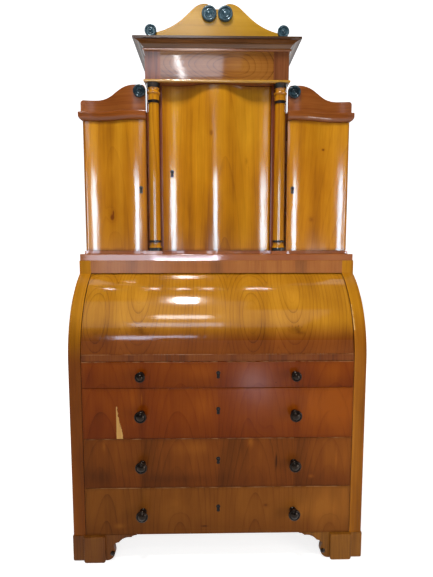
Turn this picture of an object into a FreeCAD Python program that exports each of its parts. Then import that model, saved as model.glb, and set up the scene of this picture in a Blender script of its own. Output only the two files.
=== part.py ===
import FreeCAD, Part
import math
import os
from FreeCAD import Vector

# Cylinder bureau with a bookcase top, veneered, with ebonised turnings.
# Millimetres. X runs to the right as seen from the front, Y to the back, Z up.
# The origin lies on the floor under the middle of the piece.

# Lower case
CASE_WIDTH = 1100.0
CASE_DEPTH = 600.0
SIDE_THICKNESS = 24.0
STILE_WIDTH = 21.0
STILE_DEPTH = 45.0
BOARD = 18.0
BACK_THICKNESS = 14.0
GUIDE_HEIGHT = 22.0

# Feet
FOOT_HEIGHT = 106.0
FOOT_WIDTH = 123.0
FOOT_DEPTH = 110.0
FOOT_PROUD = 3.0
FOOT_ROUND = 12.0
PAD_WIDTH = 81.0
PAD_PROUD = 9.0
PAD_DROP = 2.0
PAD_CORNER = 9.0
PAD_ROUND = 3.0
BRACKET_THICKNESS = 26.0
BRACKET_REACH = 118.0
BRACKET_LIP = 2.0
UPPER_CUSP_REACH = 98.0
UPPER_CUSP_DROP = 10.0
LOWER_CUSP_REACH = 50.0
LOWER_CUSP_DROP = 30.0
HOLLOW_DEPTH = 0.14
NECK_REACH = 29.0
NECK_DROP = 44.0
SCROLL_REACH = 35.0
SCROLL_LIFT = 3.0
EYE_RADIUS = 9.0
EYE_THICKNESS = 6.0
BACK_FOOT_WIDTH = 85.0
BACK_FOOT_DEPTH = 90.0

# Drawers
LOWER_HEIGHT = 188.0
MIDDLE_HEIGHT = 193.0
UPPER_HEIGHT = 194.0
FRONT_THICKNESS = 22.0
FRONT_GAP = 1.0
FRONT_ROUND = 1.5
BOARD_SETBACK = 2.0
DRAWER_LENGTH = 510.0
DRAWER_WALL = 12.0
DRAWER_FLOOR = 8.0
DRAWER_HEADROOM = 8.0
DRAWER_BACK_DROP = 12.0
RUN_GAP = 0.3
SIDE_PLAY = 1.5
KNOB_SPREAD = 285.0
KNOB_RADIUS = 22.5
KNOB_REACH = 45.0
SLIDE_KNOB_RADIUS = 19.0
SLIDE_KNOB_REACH = 40.0
KNOB_COLLAR_RADIUS = 13.0
KNOB_COLLAR_HEIGHT = 3.0
KNOB_NECK_RADIUS = 8.5
KNOB_RIM = 9.0
KNOB_DOME = 6.0
KNOB_GROOVE = 1.5

# Locks and key plates
PLATE_HEAD = 8.0
PLATE_FOOT = 6.5
PLATE_DROP = 18.0
PLATE_SAG = 3.0
PLATE_DEPTH = 4.0
PLATE_PROUD = 0.5
KEY_HEAD = 2.6
KEY_FOOT = 1.4
KEY_DROP = 10.0
KEY_SAG = 0.8
KEY_WAIST = 50.0
KEY_LIFT = 17.0
SLIDE_KEY_LIFT = 7.0
LOCK_WIDTH = 64.0
LOCK_HEIGHT = 44.0
LOCK_DEPTH = 13.0
LOCK_MARGIN = 4.0
DOOR_LOCK_WIDTH = 44.0
DOOR_LOCK_DEPTH = 10.0
BOLT_WIDTH = 20.0
BOLT_INSET = 2.5

# Cylinder and the linkage to the slide
SIDE_RADIUS = 355.0
AXIS_DROP = 1.0
SHELL_RECESS = 4.0
SHELL_THICKNESS = 20.0
SHELL_TUCK = 6.0
SHELL_GAP = 2.0
CYLINDER_PLAY = 1.5
RAIL_HEIGHT = 27.0
RAIL_DEPTH = 30.0
RAIL_INSET = 1.0
RAIL_LIFT = 1.0
ROLL_ANGLE = 56.0
HUB_RADIUS = 20.0
PIVOT_RADIUS = 8.0
PIVOT_CLEARANCE = 0.08
PIVOT_SEAT = 12.0
ARM_THICKNESS = 7.0
ARM_GAP = 6.0
ARM_SPREAD = 5.0
RIB_WIDTH = 30.0
RIB_MARGIN = 1.5
LEVER_LENGTH = 200.0
LEVER_THICKNESS = 6.0
LEVER_GAP = 8.0
LEVER_EYE = 11.0
DRIVE_PIN_RADIUS = 4.0
DRIVE_PIN_TAIL = 1.0
SLOT_PLAY = 2.2
SLOT_MARGIN = 12.0
BRACKET_PLATE = 3.0
BRACKET_PLATE_WIDTH = 48.0
BRACKET_PLATE_GAP = 1.5
BRACKET_FLANGE = 24.0
LINKAGE_ROOM = 12.0

# Writing slide and desk interior
SLIDE_HEIGHT = 100.0
SLIDE_SIDE_ROOM = 21.0
SLIDE_RAIL = 20.0
SLIDE_BOARD = 18.0
SLIDE_TOP_DROP = 3.0
SLIDE_OVERLAP = 12.0
LEATHER_THICKNESS = 2.0
LEATHER_MARGIN = 45.0
LEATHER_LENGTH = 265.0
DESK_SETBACK = 330.0
DESK_LIFT = 1.0
DESK_THICKNESS = 14.0
DESK_BACK_ROOM = 30.0
PIGEON_HEIGHT = 185.0
PIGEON_BOARD = 12.0
PIGEON_BACK = 8.0
PIGEON_CENTRE = 250.0
PIGEON_SHELF = 92.0
DESK_DRAWER_HEIGHT = 74.0
DESK_DRAWER_GAP = 0.8
DESK_DRAWER_LENGTH = 190.0
DESK_DRAWER_FRONT = 12.0
DESK_DRAWER_WALL = 7.0
DESK_DRAWER_FLOOR = 5.0
DESK_DRAWER_RIM = 8.0
DESK_KNOB_RADIUS = 8.0
DESK_KNOB_REACH = 17.0
DESK_KNOB_COLLAR_RADIUS = 5.0
DESK_KNOB_COLLAR_HEIGHT = 1.5
DESK_KNOB_NECK_RADIUS = 3.0
DESK_KNOB_RIM = 4.0
DESK_KNOB_DOME = 3.0
DESK_KNOB_GROOVE = 0.6

# Frieze and top of the bureau
FRIEZE_SETBACK = 187.0
FRIEZE_LIFT = 2.5
FRIEZE_HEIGHT = 50.0
FRIEZE_THICKNESS = 20.0
TOP_THICKNESS = 26.0
TOP_SETBACK = 3.0
TOP_INSET = 2.5
TOP_ROUND = 3.0

# Upper case
UPPER_WIDTH = 1076.0
DECK_THICKNESS = 12.0
DECK_PROUD = 2.5
PEDESTAL_SETBACK = 2.0
PEDESTAL_MARGIN = 2.0
COLUMN_X = 250.0
PILASTER_WIDTH = 60.0
PILASTER_THICKNESS = 20.0
CENTRE_HEIGHT = 652.5
SIDE_DROP = 136.5
SHELF_COUNT = 2
SHELF_ROOM = 8.0

# Serpentine fronts
WAVE_SPAN = 167.0
WAVE_DEPTH = 32.0
WAVE_SETBACK = 10.0
SIDE_CREST_OFFSET = 38.0
DOOR_THICKNESS = 22.0
DOOR_GAP = 1.2
DOOR_WALL_GAP = 0.8
DOOR_PIN_RADIUS = 4.0
DOOR_PIN_CLEARANCE = 0.08
DOOR_PIN_SEAT = 8.0
DOOR_PIN_REACH = 11.0
DOOR_PIN_ROOM = 0.6
SIDE_KEY_INSET = 22.0
SIDE_KEY_HEIGHT = 250.0
CENTRE_KEY_INSET = 37.0
CENTRE_KEY_HEIGHT = 318.0

# Side caps and crests
CAP_THICKNESS = 34.0
CAP_PROUD = 14.0
CAP_END = 10.5
CAP_TOP_ROUND = 5.0
CAP_LOW_ROUND = 16.0
CREST_PROUD = 8.0
CREST_END = 1.0
CREST_THICKNESS = 20.0
CREST_LOW = 43.0
CREST_RISE = 52.0
CREST_FLAT_SHARE = 0.246
CREST_CROWN_SHARE = 0.155
CREST_SLOPE_SHARE = 0.845
CREST_CORNER = 12.0
CREST_ROUNDEL_RADIUS = 24.0
CREST_ROUNDEL_THICKNESS = 13.0
CREST_ROUNDEL_INSET = 21.5
CREST_ROUNDEL_HEIGHT = 69.0

# Columns
COLUMN_BASE_RADIUS = 28.0
COLUMN_BASE_HEIGHT = 13.0
COLUMN_FLARE_RADIUS = 26.5
COLUMN_FLARE_HEIGHT = 20.0
COLUMN_WAIST_RADIUS = 21.5
COLUMN_HOLLOW = 2.0
COLUMN_RING_RADIUS = 26.5
COLUMN_RING_HEIGHT = 10.0
COLUMN_FOOT_RADIUS = 22.5
COLUMN_HEAD_RADIUS = 20.5
COLUMN_BAND_RADIUS = 22.8
COLUMN_BAND_HEIGHT = 11.0
COLUMN_NECK_RADIUS = 22.3
COLUMN_NECK_HEIGHT = 23.0
COLUMN_ASTRAGAL_RADIUS = 26.5
COLUMN_ASTRAGAL_HEIGHT = 10.0
COLUMN_ECHINUS_HEIGHT = 13.0
COLUMN_CAPITAL_RADIUS = 24.0
COLUMN_ABACUS_HEIGHT = 18.5
COLUMN_ABACUS_RADIUS = 27.5

# Entablature and pediment
ENTABLATURE_LEAD = 17.0
LOWER_BEAD_HEIGHT = 11.5
LOWER_BEAD_PROUD = 6.0
ENTABLATURE_HEIGHT = 105.0
UPPER_BEAD_HEIGHT = 10.0
UPPER_BEAD_PROUD = 7.5
COVE_FOOT = 3.0
COVE_HEIGHT = 22.0
CORNICE_FILLET = 8.0
CORNICE_PROUD = 41.0
PEDIMENT_HEIGHT = 134.0
PEDIMENT_THICKNESS = 20.0
PEDIMENT_LOBE_X = 48.0
PEDIMENT_LOBE_OUTER = 60.0
PEDIMENT_LOBE_INNER = 30.0
PEDIMENT_SLOPE = 42.0
PEDIMENT_VALLEY_SLOPE = 45.0
PEDIMENT_STRAIGHT = 50.0
PEDIMENT_HOLLOW = 241.0
PEDIMENT_END_SLOPE = 16.0
PEDIMENT_END_X = 264.0
ROUNDEL_RADIUS = 28.5
ROUNDEL_THICKNESS = 14.0
ROUNDEL_X = 31.0
ROUNDEL_HEIGHT = 95.0
BOSS_RADIUS = 23.0
BOSS_THICKNESS = 12.0
BOSS_X = 255.0
BOSS_HEIGHT = 32.0
ROUNDEL_RIM = 8.0
ROUNDEL_GROOVE = 5.5
ROUNDEL_STEP = 3.0
ROUNDEL_BEAD = 6.5
ROUNDEL_BEAD_RISE = 2.5
ROUNDEL_LIFT = 1.0

# Derived places across the width
HALF = CASE_WIDTH / 2
INNER = HALF - SIDE_THICKNESS
BAY = INNER - STILE_WIDTH
SLIDE_HALF = BAY - SLIDE_SIDE_ROOM
UPPER_HALF = UPPER_WIDTH / 2
PILASTER_IN = COLUMN_X - PILASTER_WIDTH / 2
PILASTER_OUT = COLUMN_X + PILASTER_WIDTH / 2
UPPER_WALL = UPPER_HALF - BOARD
LEVER_X = BAY + LEVER_GAP
ARM_X = SLIDE_HALF + ARM_GAP
PLATE_X = BAY + BRACKET_PLATE_GAP

# Derived places from front to back
FRONT = (KNOB_REACH - CASE_DEPTH) / 2
BACK = FRONT + CASE_DEPTH
BACK_FACE = BACK - BACK_THICKNESS
BOARD_FRONT = FRONT + FRONT_THICKNESS + BOARD_SETBACK
Y_FRIEZE = FRONT + FRIEZE_SETBACK
Y_TOP = Y_FRIEZE + TOP_SETBACK
Y_PEDESTAL = Y_TOP + PEDESTAL_SETBACK
Y_COLUMN = Y_PEDESTAL + PEDESTAL_MARGIN + COLUMN_BASE_RADIUS
Y_PILASTER = Y_COLUMN + COLUMN_BASE_RADIUS
Y_PARTITION = Y_PILASTER + PILASTER_THICKNESS
Y_ENTABLATURE = Y_COLUMN - ENTABLATURE_LEAD
Y_CREST = Y_ENTABLATURE + WAVE_SETBACK
Y_AXIS = FRONT + SIDE_RADIUS
Y_DESK = FRONT + DESK_SETBACK

# Derived heights
Z_CASE = FOOT_HEIGHT
Z_MIDDLE = Z_CASE + LOWER_HEIGHT
Z_UPPER = Z_MIDDLE + MIDDLE_HEIGHT
Z_SLIDE = Z_UPPER + UPPER_HEIGHT
Z_RAIL = Z_SLIDE + SLIDE_HEIGHT
Z_AXIS = Z_RAIL - AXIS_DROP
ARC_END = math.acos((SIDE_RADIUS - FRIEZE_SETBACK) / SIDE_RADIUS)
Z_ARC = Z_AXIS + SIDE_RADIUS * math.sin(ARC_END)
Z_FRIEZE = Z_ARC + FRIEZE_LIFT
Z_TOP = Z_FRIEZE + FRIEZE_HEIGHT
Z_PLINTH = Z_TOP + TOP_THICKNESS
Z_DECK = Z_PLINTH + DECK_THICKNESS
Z_SOFFIT = Z_DECK + CENTRE_HEIGHT
Z_CAP = Z_SOFFIT - SIDE_DROP
Z_CREST = Z_CAP + CAP_THICKNESS
Z_ENTABLATURE = Z_SOFFIT + LOWER_BEAD_HEIGHT
Z_UPPER_BEAD = Z_ENTABLATURE + ENTABLATURE_HEIGHT
Z_CORNICE = Z_UPPER_BEAD + UPPER_BEAD_HEIGHT
Z_CORNICE_TOP = Z_CORNICE + COVE_HEIGHT + CORNICE_FILLET

# Derived linkage: the lever swings evenly to both sides of plumb
ROLL = math.radians(ROLL_ANGLE)
SHELL_RADIUS = SIDE_RADIUS - SHELL_RECESS
SHELL_INNER = SHELL_RADIUS - SHELL_THICKNESS
SLIDE_TRAVEL = 2 * LEVER_LENGTH * math.sin(ROLL / 2)
Y_DRIVE = Y_AXIS + LEVER_LENGTH * math.sin(ROLL / 2)
Z_DRIVE = Z_AXIS - LEVER_LENGTH * math.cos(ROLL / 2)
SLIDE_BACK = Y_DESK + SLIDE_TRAVEL + SLIDE_OVERLAP
Z_WRITING = Z_RAIL - SLIDE_TOP_DROP


def box(x, y, z):
    return Part.makeBox(x[1] - x[0], y[1] - y[0], z[1] - z[0], Vector(x[0], y[0], z[0]))


def outline(items, plane):
    # A point is a straight edge to it; a pair of points is an arc through the first to the second.
    here = items[0]
    edges = []
    for item in items[1:]:
        if isinstance(item[0], tuple):
            middle, end = item
            edges.append(Part.Arc(plane(here), plane(middle), plane(end)).toShape())
        else:
            end = item
            edges.append(Part.LineSegment(plane(here), plane(end)).toShape())
        here = end
    if plane(here).distanceToPoint(plane(items[0])) > Part.Vertex(0, 0, 0).Tolerance:
        edges.append(Part.LineSegment(plane(here), plane(items[0])).toShape())
    return Part.Face(Part.Wire(edges))


def slab_x(items, x):
    return outline(items, lambda p: Vector(x[0], p[0], p[1])).extrude(Vector(x[1] - x[0], 0, 0))


def slab_y(items, y):
    return outline(items, lambda p: Vector(p[0], y[0], p[1])).extrude(Vector(0, y[1] - y[0], 0))


def slab_z(items, z):
    return outline(items, lambda p: Vector(p[0], p[1], z[0])).extrude(Vector(0, 0, z[1] - z[0]))


def rod_x(radius, x, y, z):
    return Part.makeCylinder(radius, x[1] - x[0], Vector(x[0], y, z), Vector(1, 0, 0))


def rod_z(radius, x, y, z):
    return Part.makeCylinder(radius, z[1] - z[0], Vector(x, y, z[0]), Vector(0, 0, 1))


def turned(items):
    # Profile points are (radius, height) about the Z axis.
    profile = outline(items, lambda p: Vector(p[0], 0, p[1]))
    return profile.revolve(Vector(0, 0, 0), Vector(0, 0, 1), 360)


def turned_up(items, x, y):
    solid = turned(items)
    solid.translate(Vector(x, y, 0))
    return solid


def turned_out(items, x, y, z):
    # A turning that faces the viewer: its height runs along -Y from the face at y.
    solid = turned(items)
    solid.rotate(Vector(0, 0, 0), Vector(1, 0, 0), 90)
    solid.translate(Vector(x, y, z))
    return solid


def mirrored(solid):
    return solid.mirror(Vector(0, 0, 0), Vector(1, 0, 0))


def pair(*solids):
    return [side for solid in solids for side in (solid, mirrored(solid))]


def joined(first, *others):
    return first.fuse(list(others)).removeSplitter()


def rounded(solid, radius, wanted):
    edges = [edge for edge in solid.Edges if all(wanted(v.Point) for v in edge.Vertexes)]
    return solid.makeFillet(radius, edges)


def near(a, b):
    return math.isclose(a, b, abs_tol=Part.Vertex(0, 0, 0).Tolerance * 10)


def dome(radius, height, top):
    # Arc from a rim at (radius, height) to the axis at the top, level there.
    rise = top - height
    curve = (radius ** 2 + rise ** 2) / (2 * rise)
    half = math.asin(radius / curve) / 2
    return ((curve * math.sin(half), top - curve * (1 - math.cos(half))), (0.0, top))


def save(name, solids):
    Part.makeCompound(solids).exportStep("parts/" + name + ".step")


class Wave:
    # Serpentine line in plan: a bulge and a hollow of equal radius that meet tangent.
    # Moved outward it stays parallel, so the radii change by the same amount.

    def __init__(self, crest_x, crest_y, span, depth):
        self.radius = (span ** 2 + depth ** 2) / (4 * depth)
        self.bulge = (crest_x, crest_y + self.radius)
        self.hollow = (crest_x + span, crest_y + depth - self.radius)

    def meet(self, proud):
        share = (self.radius + proud) / (2 * self.radius)
        return self.bulge[0] + (self.hollow[0] - self.bulge[0]) * share

    def y(self, x, proud):
        x = abs(x)
        if x <= self.meet(proud):
            return self.bulge[1] - math.sqrt((self.radius + proud) ** 2 - (x - self.bulge[0]) ** 2)
        return self.hollow[1] + math.sqrt((self.radius - proud) ** 2 - (x - self.hollow[0]) ** 2)

    def run(self, start, end, proud):
        turn = self.meet(proud)
        stops = [x for x in (-turn, turn) if min(start, end) < x < max(start, end)]
        stops.sort(reverse=start > end)
        items = [(start, self.y(start, proud))]
        here = start
        for stop in stops + [end]:
            middle = (here + stop) / 2
            items.append(((middle, self.y(middle, proud)), (stop, self.y(stop, proud))))
            here = stop
        return items

    def hinge(self, edge, thickness):
        # Centre of a half-round door edge that ends at x = edge, and the two ends of that half round.
        reach = self.radius + thickness / 2
        x = edge - thickness / 2
        tilt = math.asin((x - self.hollow[0]) / reach)
        along = (math.sin(tilt), math.cos(tilt))
        centre = (x, self.hollow[1] + reach * along[1])
        front = (centre[0] - along[0] * thickness / 2, centre[1] - along[1] * thickness / 2)
        back = (centre[0] + along[0] * thickness / 2, centre[1] + along[1] * thickness / 2)
        tip = (centre[0] + along[1] * thickness / 2, centre[1] - along[0] * thickness / 2)
        return centre, front, tip, back


CENTRE_WAVE = Wave(0.0, Y_CREST, WAVE_SPAN, WAVE_DEPTH)
SIDE_WAVE = Wave(PILASTER_OUT + SIDE_CREST_OFFSET, Y_CREST, WAVE_SPAN, WAVE_DEPTH)
CENTRE_EDGE = PILASTER_IN - DOOR_GAP
SIDE_EDGE = PILASTER_OUT + DOOR_GAP
CENTRE_HINGE = CENTRE_WAVE.hinge(CENTRE_EDGE, DOOR_THICKNESS)[0]
SIDE_HINGE = SIDE_WAVE.hinge(UPPER_HALF, DOOR_THICKNESS)[0]


def polar(radius, angle):
    # Point in the YZ plane about the cylinder's axis; angle from the front, upward.
    return (Y_AXIS - radius * math.cos(angle), Z_AXIS + radius * math.sin(angle))


# Lower case

def lower_sides():
    panel = slab_x([
        (FRONT, Z_CASE),
        (FRONT, Z_AXIS),
        (polar(SIDE_RADIUS, ARC_END / 2), polar(SIDE_RADIUS, ARC_END)),
        (Y_FRIEZE, Z_TOP),
        (BACK, Z_TOP),
        (BACK, Z_CASE),
    ], (INNER, HALF))
    return panel.cut(rod_x(PIVOT_RADIUS, (INNER, INNER + PIVOT_SEAT), Y_AXIS, Z_AXIS))


def front_stile():
    inside = SIDE_RADIUS - STILE_DEPTH
    inside_end = math.acos((Y_AXIS - Y_FRIEZE - STILE_DEPTH) / inside)
    return slab_x([
        (FRONT, Z_CASE),
        (FRONT, Z_AXIS),
        (polar(SIDE_RADIUS, ARC_END / 2), polar(SIDE_RADIUS, ARC_END)),
        (Y_FRIEZE, Z_TOP),
        (Y_FRIEZE + STILE_DEPTH, Z_TOP),
        polar(inside, inside_end),
        (polar(inside, inside_end / 2), polar(inside, 0.0)),
        (FRONT + STILE_DEPTH, Z_CASE),
    ], (BAY, INNER))


def dust_board(z):
    board = box((-INNER, INNER), (BOARD_FRONT, BACK_FACE), (z, z + BOARD))
    notch = box((BAY, INNER), (BOARD_FRONT, FRONT + STILE_DEPTH), (z, z + BOARD))
    return board.cut(pair(notch))


def slide_bed():
    room = BRACKET_PLATE_WIDTH / 2 + LINKAGE_ROOM
    gap = (Y_DRIVE - SLIDE_TRAVEL - room, Y_DRIVE + room)
    notch = box((BAY, INNER), gap, (Z_SLIDE, Z_SLIDE + BOARD))
    return dust_board(Z_SLIDE).cut(pair(notch))


def lower_back():
    return box((-INNER, INNER), (BACK_FACE, BACK), (Z_CASE, Z_TOP))


def drawer_guides():
    along = (FRONT + STILE_DEPTH, BACK_FACE)
    strips = []
    for z in (Z_CASE, Z_MIDDLE, Z_UPPER):
        strips += pair(box((BAY, INNER), along, (z + BOARD, z + BOARD + GUIDE_HEIGHT)))
    foot = Z_SLIDE + BOARD
    return strips + pair(box((SLIDE_HALF + SIDE_PLAY, BAY), along, (foot, foot + GUIDE_HEIGHT)))


def front_foot():
    outer = HALF + FOOT_PROUD
    inner = outer - FOOT_WIDTH
    face = FRONT - FOOT_PROUD
    block = box((inner, outer), (face, FRONT + FOOT_DEPTH), (0.0, FOOT_HEIGHT))
    block = rounded(block, FOOT_ROUND, lambda p: near(p.z, 0.0) and (near(p.x, outer) or near(p.y, face)))
    return [block, foot_pad(inner, face), foot_bracket(inner)]


def foot_pad(inner, face):
    # Raised pad on the block with round lower corners and a softened front edge.
    outer = inner + PAD_WIDTH
    corner = PAD_CORNER * (1 - math.cos(math.pi / 4))
    pad = slab_y([
        (inner + PAD_CORNER, 0.0),
        (outer - PAD_CORNER, 0.0),
        ((outer - corner, corner), (outer, PAD_CORNER)),
        (outer, FOOT_HEIGHT - PAD_DROP),
        (inner, FOOT_HEIGHT - PAD_DROP),
        (inner, PAD_CORNER),
        ((inner + corner, corner), (inner + PAD_CORNER, 0.0)),
    ], (face - PAD_PROUD, face))
    return rounded(pad, PAD_ROUND, lambda p: near(p.y, face - PAD_PROUD))


def scroll_heights():
    neck = FOOT_HEIGHT - NECK_DROP
    return (SCROLL_LIFT + neck) / 2, neck


def foot_bracket(inner):
    # Wing with three cusped hollows that runs down into a scroll against the block.
    middle, neck = scroll_heights()
    eighth = math.cos(math.pi / 4)

    def at(reach, z):
        return (inner - reach, z)

    def hollow(a, b):
        return ((a[0] + b[0]) / 2 + (b[1] - a[1]) * HOLLOW_DEPTH,
                (a[1] + b[1]) / 2 + (a[0] - b[0]) * HOLLOW_DEPTH)

    stops = [
        at(NECK_REACH, neck),
        at(LOWER_CUSP_REACH, FOOT_HEIGHT - LOWER_CUSP_DROP),
        at(UPPER_CUSP_REACH, FOOT_HEIGHT - UPPER_CUSP_DROP),
        at(BRACKET_REACH, FOOT_HEIGHT - BRACKET_LIP),
    ]
    belly = at(SCROLL_REACH * eighth, middle - (middle - SCROLL_LIFT) * eighth)
    shoulder = at(SCROLL_REACH - (SCROLL_REACH - NECK_REACH) / 4, (middle + neck) / 2)
    return slab_y(
        [at(0.0, SCROLL_LIFT), (belly, at(SCROLL_REACH, middle)), (shoulder, stops[0])]
        + [(hollow(a, b), b) for a, b in zip(stops, stops[1:])]
        + [at(BRACKET_REACH, FOOT_HEIGHT), at(0.0, FOOT_HEIGHT)],
        (FRONT, FRONT + BRACKET_THICKNESS))


def foot_eye():
    x = HALF + FOOT_PROUD - FOOT_WIDTH - SCROLL_REACH + EYE_RADIUS
    rim = EYE_THICKNESS / 2
    items = [(0.0, 0.0), (EYE_RADIUS, 0.0), (EYE_RADIUS, rim), dome(EYE_RADIUS, rim, EYE_THICKNESS)]
    return turned_out(items, x, FRONT, scroll_heights()[0])


def back_foot():
    return box((HALF - BACK_FOOT_WIDTH, HALF), (BACK - BACK_FOOT_DEPTH, BACK), (0.0, FOOT_HEIGHT))


def frieze_rail():
    rail = box((-BAY, BAY), (Y_FRIEZE, Y_FRIEZE + FRIEZE_THICKNESS), (Z_FRIEZE, Z_TOP))
    rail = rounded(rail, FRONT_ROUND, lambda p: near(p.z, Z_TOP) and near(p.y, Y_FRIEZE))
    return rail.cut(rod_x(SHELL_RADIUS + SHELL_GAP, (-BAY, BAY), Y_AXIS, Z_AXIS))


def bureau_top():
    half = HALF - TOP_INSET
    board = box((-half, half), (Y_TOP, BACK), (Z_TOP, Z_PLINTH))
    return rounded(board, TOP_ROUND, lambda p: near(p.z, Z_PLINTH) and near(p.y, Y_TOP))


# Turned knobs

def knob(x, z, face, radius, reach, collar, collar_height, neck, rim, crown, groove):
    rim_top = reach - crown
    rim_low = rim_top - rim
    shoulder = radius - rim / 2
    waist = (neck, (collar_height + rim_low) / 2)
    return turned_out([
        (0.0, 0.0),
        (collar, 0.0),
        (collar, collar_height),
        (waist, (shoulder, rim_low)),
        ((radius, rim_low + rim / 2), (shoulder, rim_top)),
        (shoulder - groove, rim_top - groove),
        dome(shoulder - groove, rim_top - groove, reach),
    ], x, face, z)


def case_knob(x, z, radius, reach):
    return knob(x, z, FRONT, radius, reach, KNOB_COLLAR_RADIUS, KNOB_COLLAR_HEIGHT,
                KNOB_NECK_RADIUS, KNOB_RIM, KNOB_DOME, KNOB_GROOVE)


# Locks

def keyhole(x, z, head, foot, drop, sag):
    waist = math.radians(KEY_WAIST)
    side = (head * math.cos(waist), head * math.sin(waist))
    return [
        (x + side[0], z - side[1]),
        (x + foot, z - drop),
        ((x, z - drop - sag), (x - foot, z - drop)),
        (x - side[0], z - side[1]),
        ((x, z + head), (x + side[0], z - side[1])),
    ]


def key_plate(x, z, face):
    return slab_y(keyhole(x, z, PLATE_HEAD, PLATE_FOOT, PLATE_DROP, PLATE_SAG),
                  (face - PLATE_PROUD, face + PLATE_DEPTH))


def key_way(x, z, face, depth):
    return slab_y(keyhole(x, z, KEY_HEAD, KEY_FOOT, KEY_DROP, KEY_SAG), (face - PLATE_PROUD, depth))


def fitted_lock(leaf, x, z, face, case, bolt):
    # Lets a lock case, its bolt and a key plate into a leaf; returns the leaf and the loose pieces.
    plate = key_plate(x, z, face)
    way = key_way(x, z, face, case.BoundBox.YMin)
    clear = case.fuse(box((case.BoundBox.XMin, case.BoundBox.XMax),
                          (case.BoundBox.YMin, leaf.BoundBox.YMax),
                          (case.BoundBox.ZMin, case.BoundBox.ZMax)))
    return leaf.cut([clear, bolt, plate, way]), [case, bolt, plate.cut(way)]


# Drawers

def drawer_front(low, high, lift):
    half = BAY - FRONT_GAP
    back = FRONT + FRONT_THICKNESS
    top = high - FRONT_GAP / 2
    leaf = box((-half, half), (FRONT, back), (low + FRONT_GAP / 2, top))
    leaf = rounded(leaf, FRONT_ROUND, lambda p: near(p.y, FRONT))
    z = (low + high) / 2 + lift
    case = box((-LOCK_WIDTH / 2, LOCK_WIDTH / 2), (back - LOCK_DEPTH, back),
               (z - LOCK_HEIGHT / 2, z + LOCK_HEIGHT / 2))
    bolt = box((-BOLT_WIDTH / 2, BOLT_WIDTH / 2), (back - LOCK_DEPTH + BOLT_INSET, back - BOLT_INSET),
               (z + LOCK_HEIGHT / 2, top))
    return fitted_lock(leaf, 0.0, z, FRONT, case, bolt)


def drawer_box(low, high):
    half = BAY - SIDE_PLAY
    front = FRONT + FRONT_THICKNESS
    back = front + DRAWER_LENGTH
    foot = low + BOARD + RUN_GAP
    top = high - DRAWER_HEADROOM
    side = box((half - DRAWER_WALL, half), (front, back), (foot, top))
    span = (DRAWER_WALL - half, half - DRAWER_WALL)
    floor = box(span, (front, back), (foot, foot + DRAWER_FLOOR))
    end = box(span, (back - DRAWER_WALL, back), (foot + DRAWER_FLOOR, top - DRAWER_BACK_DROP))
    return pair(side) + [floor, end]


def save_drawer(name, low, high):
    leaf, lock = drawer_front(low, high, KEY_LIFT)
    knobs = pair(case_knob(KNOB_SPREAD, (low + high) / 2, KNOB_RADIUS, KNOB_REACH))
    save(name + "_front", [leaf])
    save(name + "_box", drawer_box(low, high))
    save(name + "_knobs", knobs)
    save(name + "_lock", lock)


# Writing slide

def save_slide():
    leaf, lock = drawer_front(Z_SLIDE, Z_RAIL, SLIDE_KEY_LIFT)
    middle = (Z_SLIDE + Z_RAIL) / 2
    save("slide_front", [leaf])
    save("slide_knobs", pair(case_knob(KNOB_SPREAD, middle, SLIDE_KNOB_RADIUS, SLIDE_KNOB_REACH)))
    save("slide_lock", lock)
    save("slide_frame", slide_frame())
    save("slide_brackets", pair(slide_bracket()))
    board, leather = writing_surface()
    save("writing_board", [board])
    save("writing_leather", [leather])


def slide_frame():
    front = FRONT + FRONT_THICKNESS
    foot = Z_SLIDE + BOARD + RUN_GAP
    height = (foot, Z_WRITING - SLIDE_BOARD)
    span = (SLIDE_RAIL - SLIDE_HALF, SLIDE_HALF - SLIDE_RAIL)
    side = box((SLIDE_HALF - SLIDE_RAIL, SLIDE_HALF), (front, SLIDE_BACK), height)
    middle = (front + SLIDE_BACK - SLIDE_RAIL) / 2
    cross = box(span, (middle, middle + SLIDE_RAIL), height)
    end = box(span, (SLIDE_BACK - SLIDE_RAIL, SLIDE_BACK), height)
    return pair(side) + [cross, end]


def writing_surface():
    front = FRONT + FRONT_THICKNESS
    board = box((-SLIDE_HALF, SLIDE_HALF), (front, SLIDE_BACK), (Z_WRITING - SLIDE_BOARD, Z_WRITING))
    half = SLIDE_HALF - LEATHER_MARGIN
    along = (front + LEATHER_MARGIN, front + LEATHER_MARGIN + LEATHER_LENGTH)
    leather = box((-half, half), along, (Z_WRITING - LEATHER_THICKNESS, Z_WRITING))
    return board.cut(leather), leather


def slide_bracket():
    # Flange on the slide's rail, web over the guide, and a plate hung beside the drawer with a slot.
    foot = Z_SLIDE + BOARD + GUIDE_HEIGHT + BRACKET_PLATE
    width = (Y_DRIVE - BRACKET_PLATE_WIDTH / 2, Y_DRIVE + BRACKET_PLATE_WIDTH / 2)
    outer = PLATE_X + BRACKET_PLATE
    play = DRIVE_PIN_RADIUS + SLOT_PLAY
    low = Z_AXIS - LEVER_LENGTH
    flange = box((SLIDE_HALF, SLIDE_HALF + BRACKET_PLATE), width, (foot, foot + BRACKET_FLANGE))
    web = box((SLIDE_HALF, outer), width, (foot, foot + BRACKET_PLATE))
    plate = box((PLATE_X, outer), width, (low - play - SLOT_MARGIN, foot + BRACKET_PLATE))
    slot = slab_x([
        (Y_DRIVE - play, low),
        ((Y_DRIVE, low - play), (Y_DRIVE + play, low)),
        (Y_DRIVE + play, Z_DRIVE),
        ((Y_DRIVE, Z_DRIVE + play), (Y_DRIVE - play, Z_DRIVE)),
    ], (PLATE_X, outer))
    return joined(flange, web, plate).cut(slot)


# Cylinder

def shell_ends():
    low = Z_RAIL + RAIL_HEIGHT - Z_AXIS
    high = math.asin((Z_FRIEZE - Z_AXIS) / SHELL_RADIUS) + math.radians(SHELL_TUCK)
    return low, high


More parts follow.
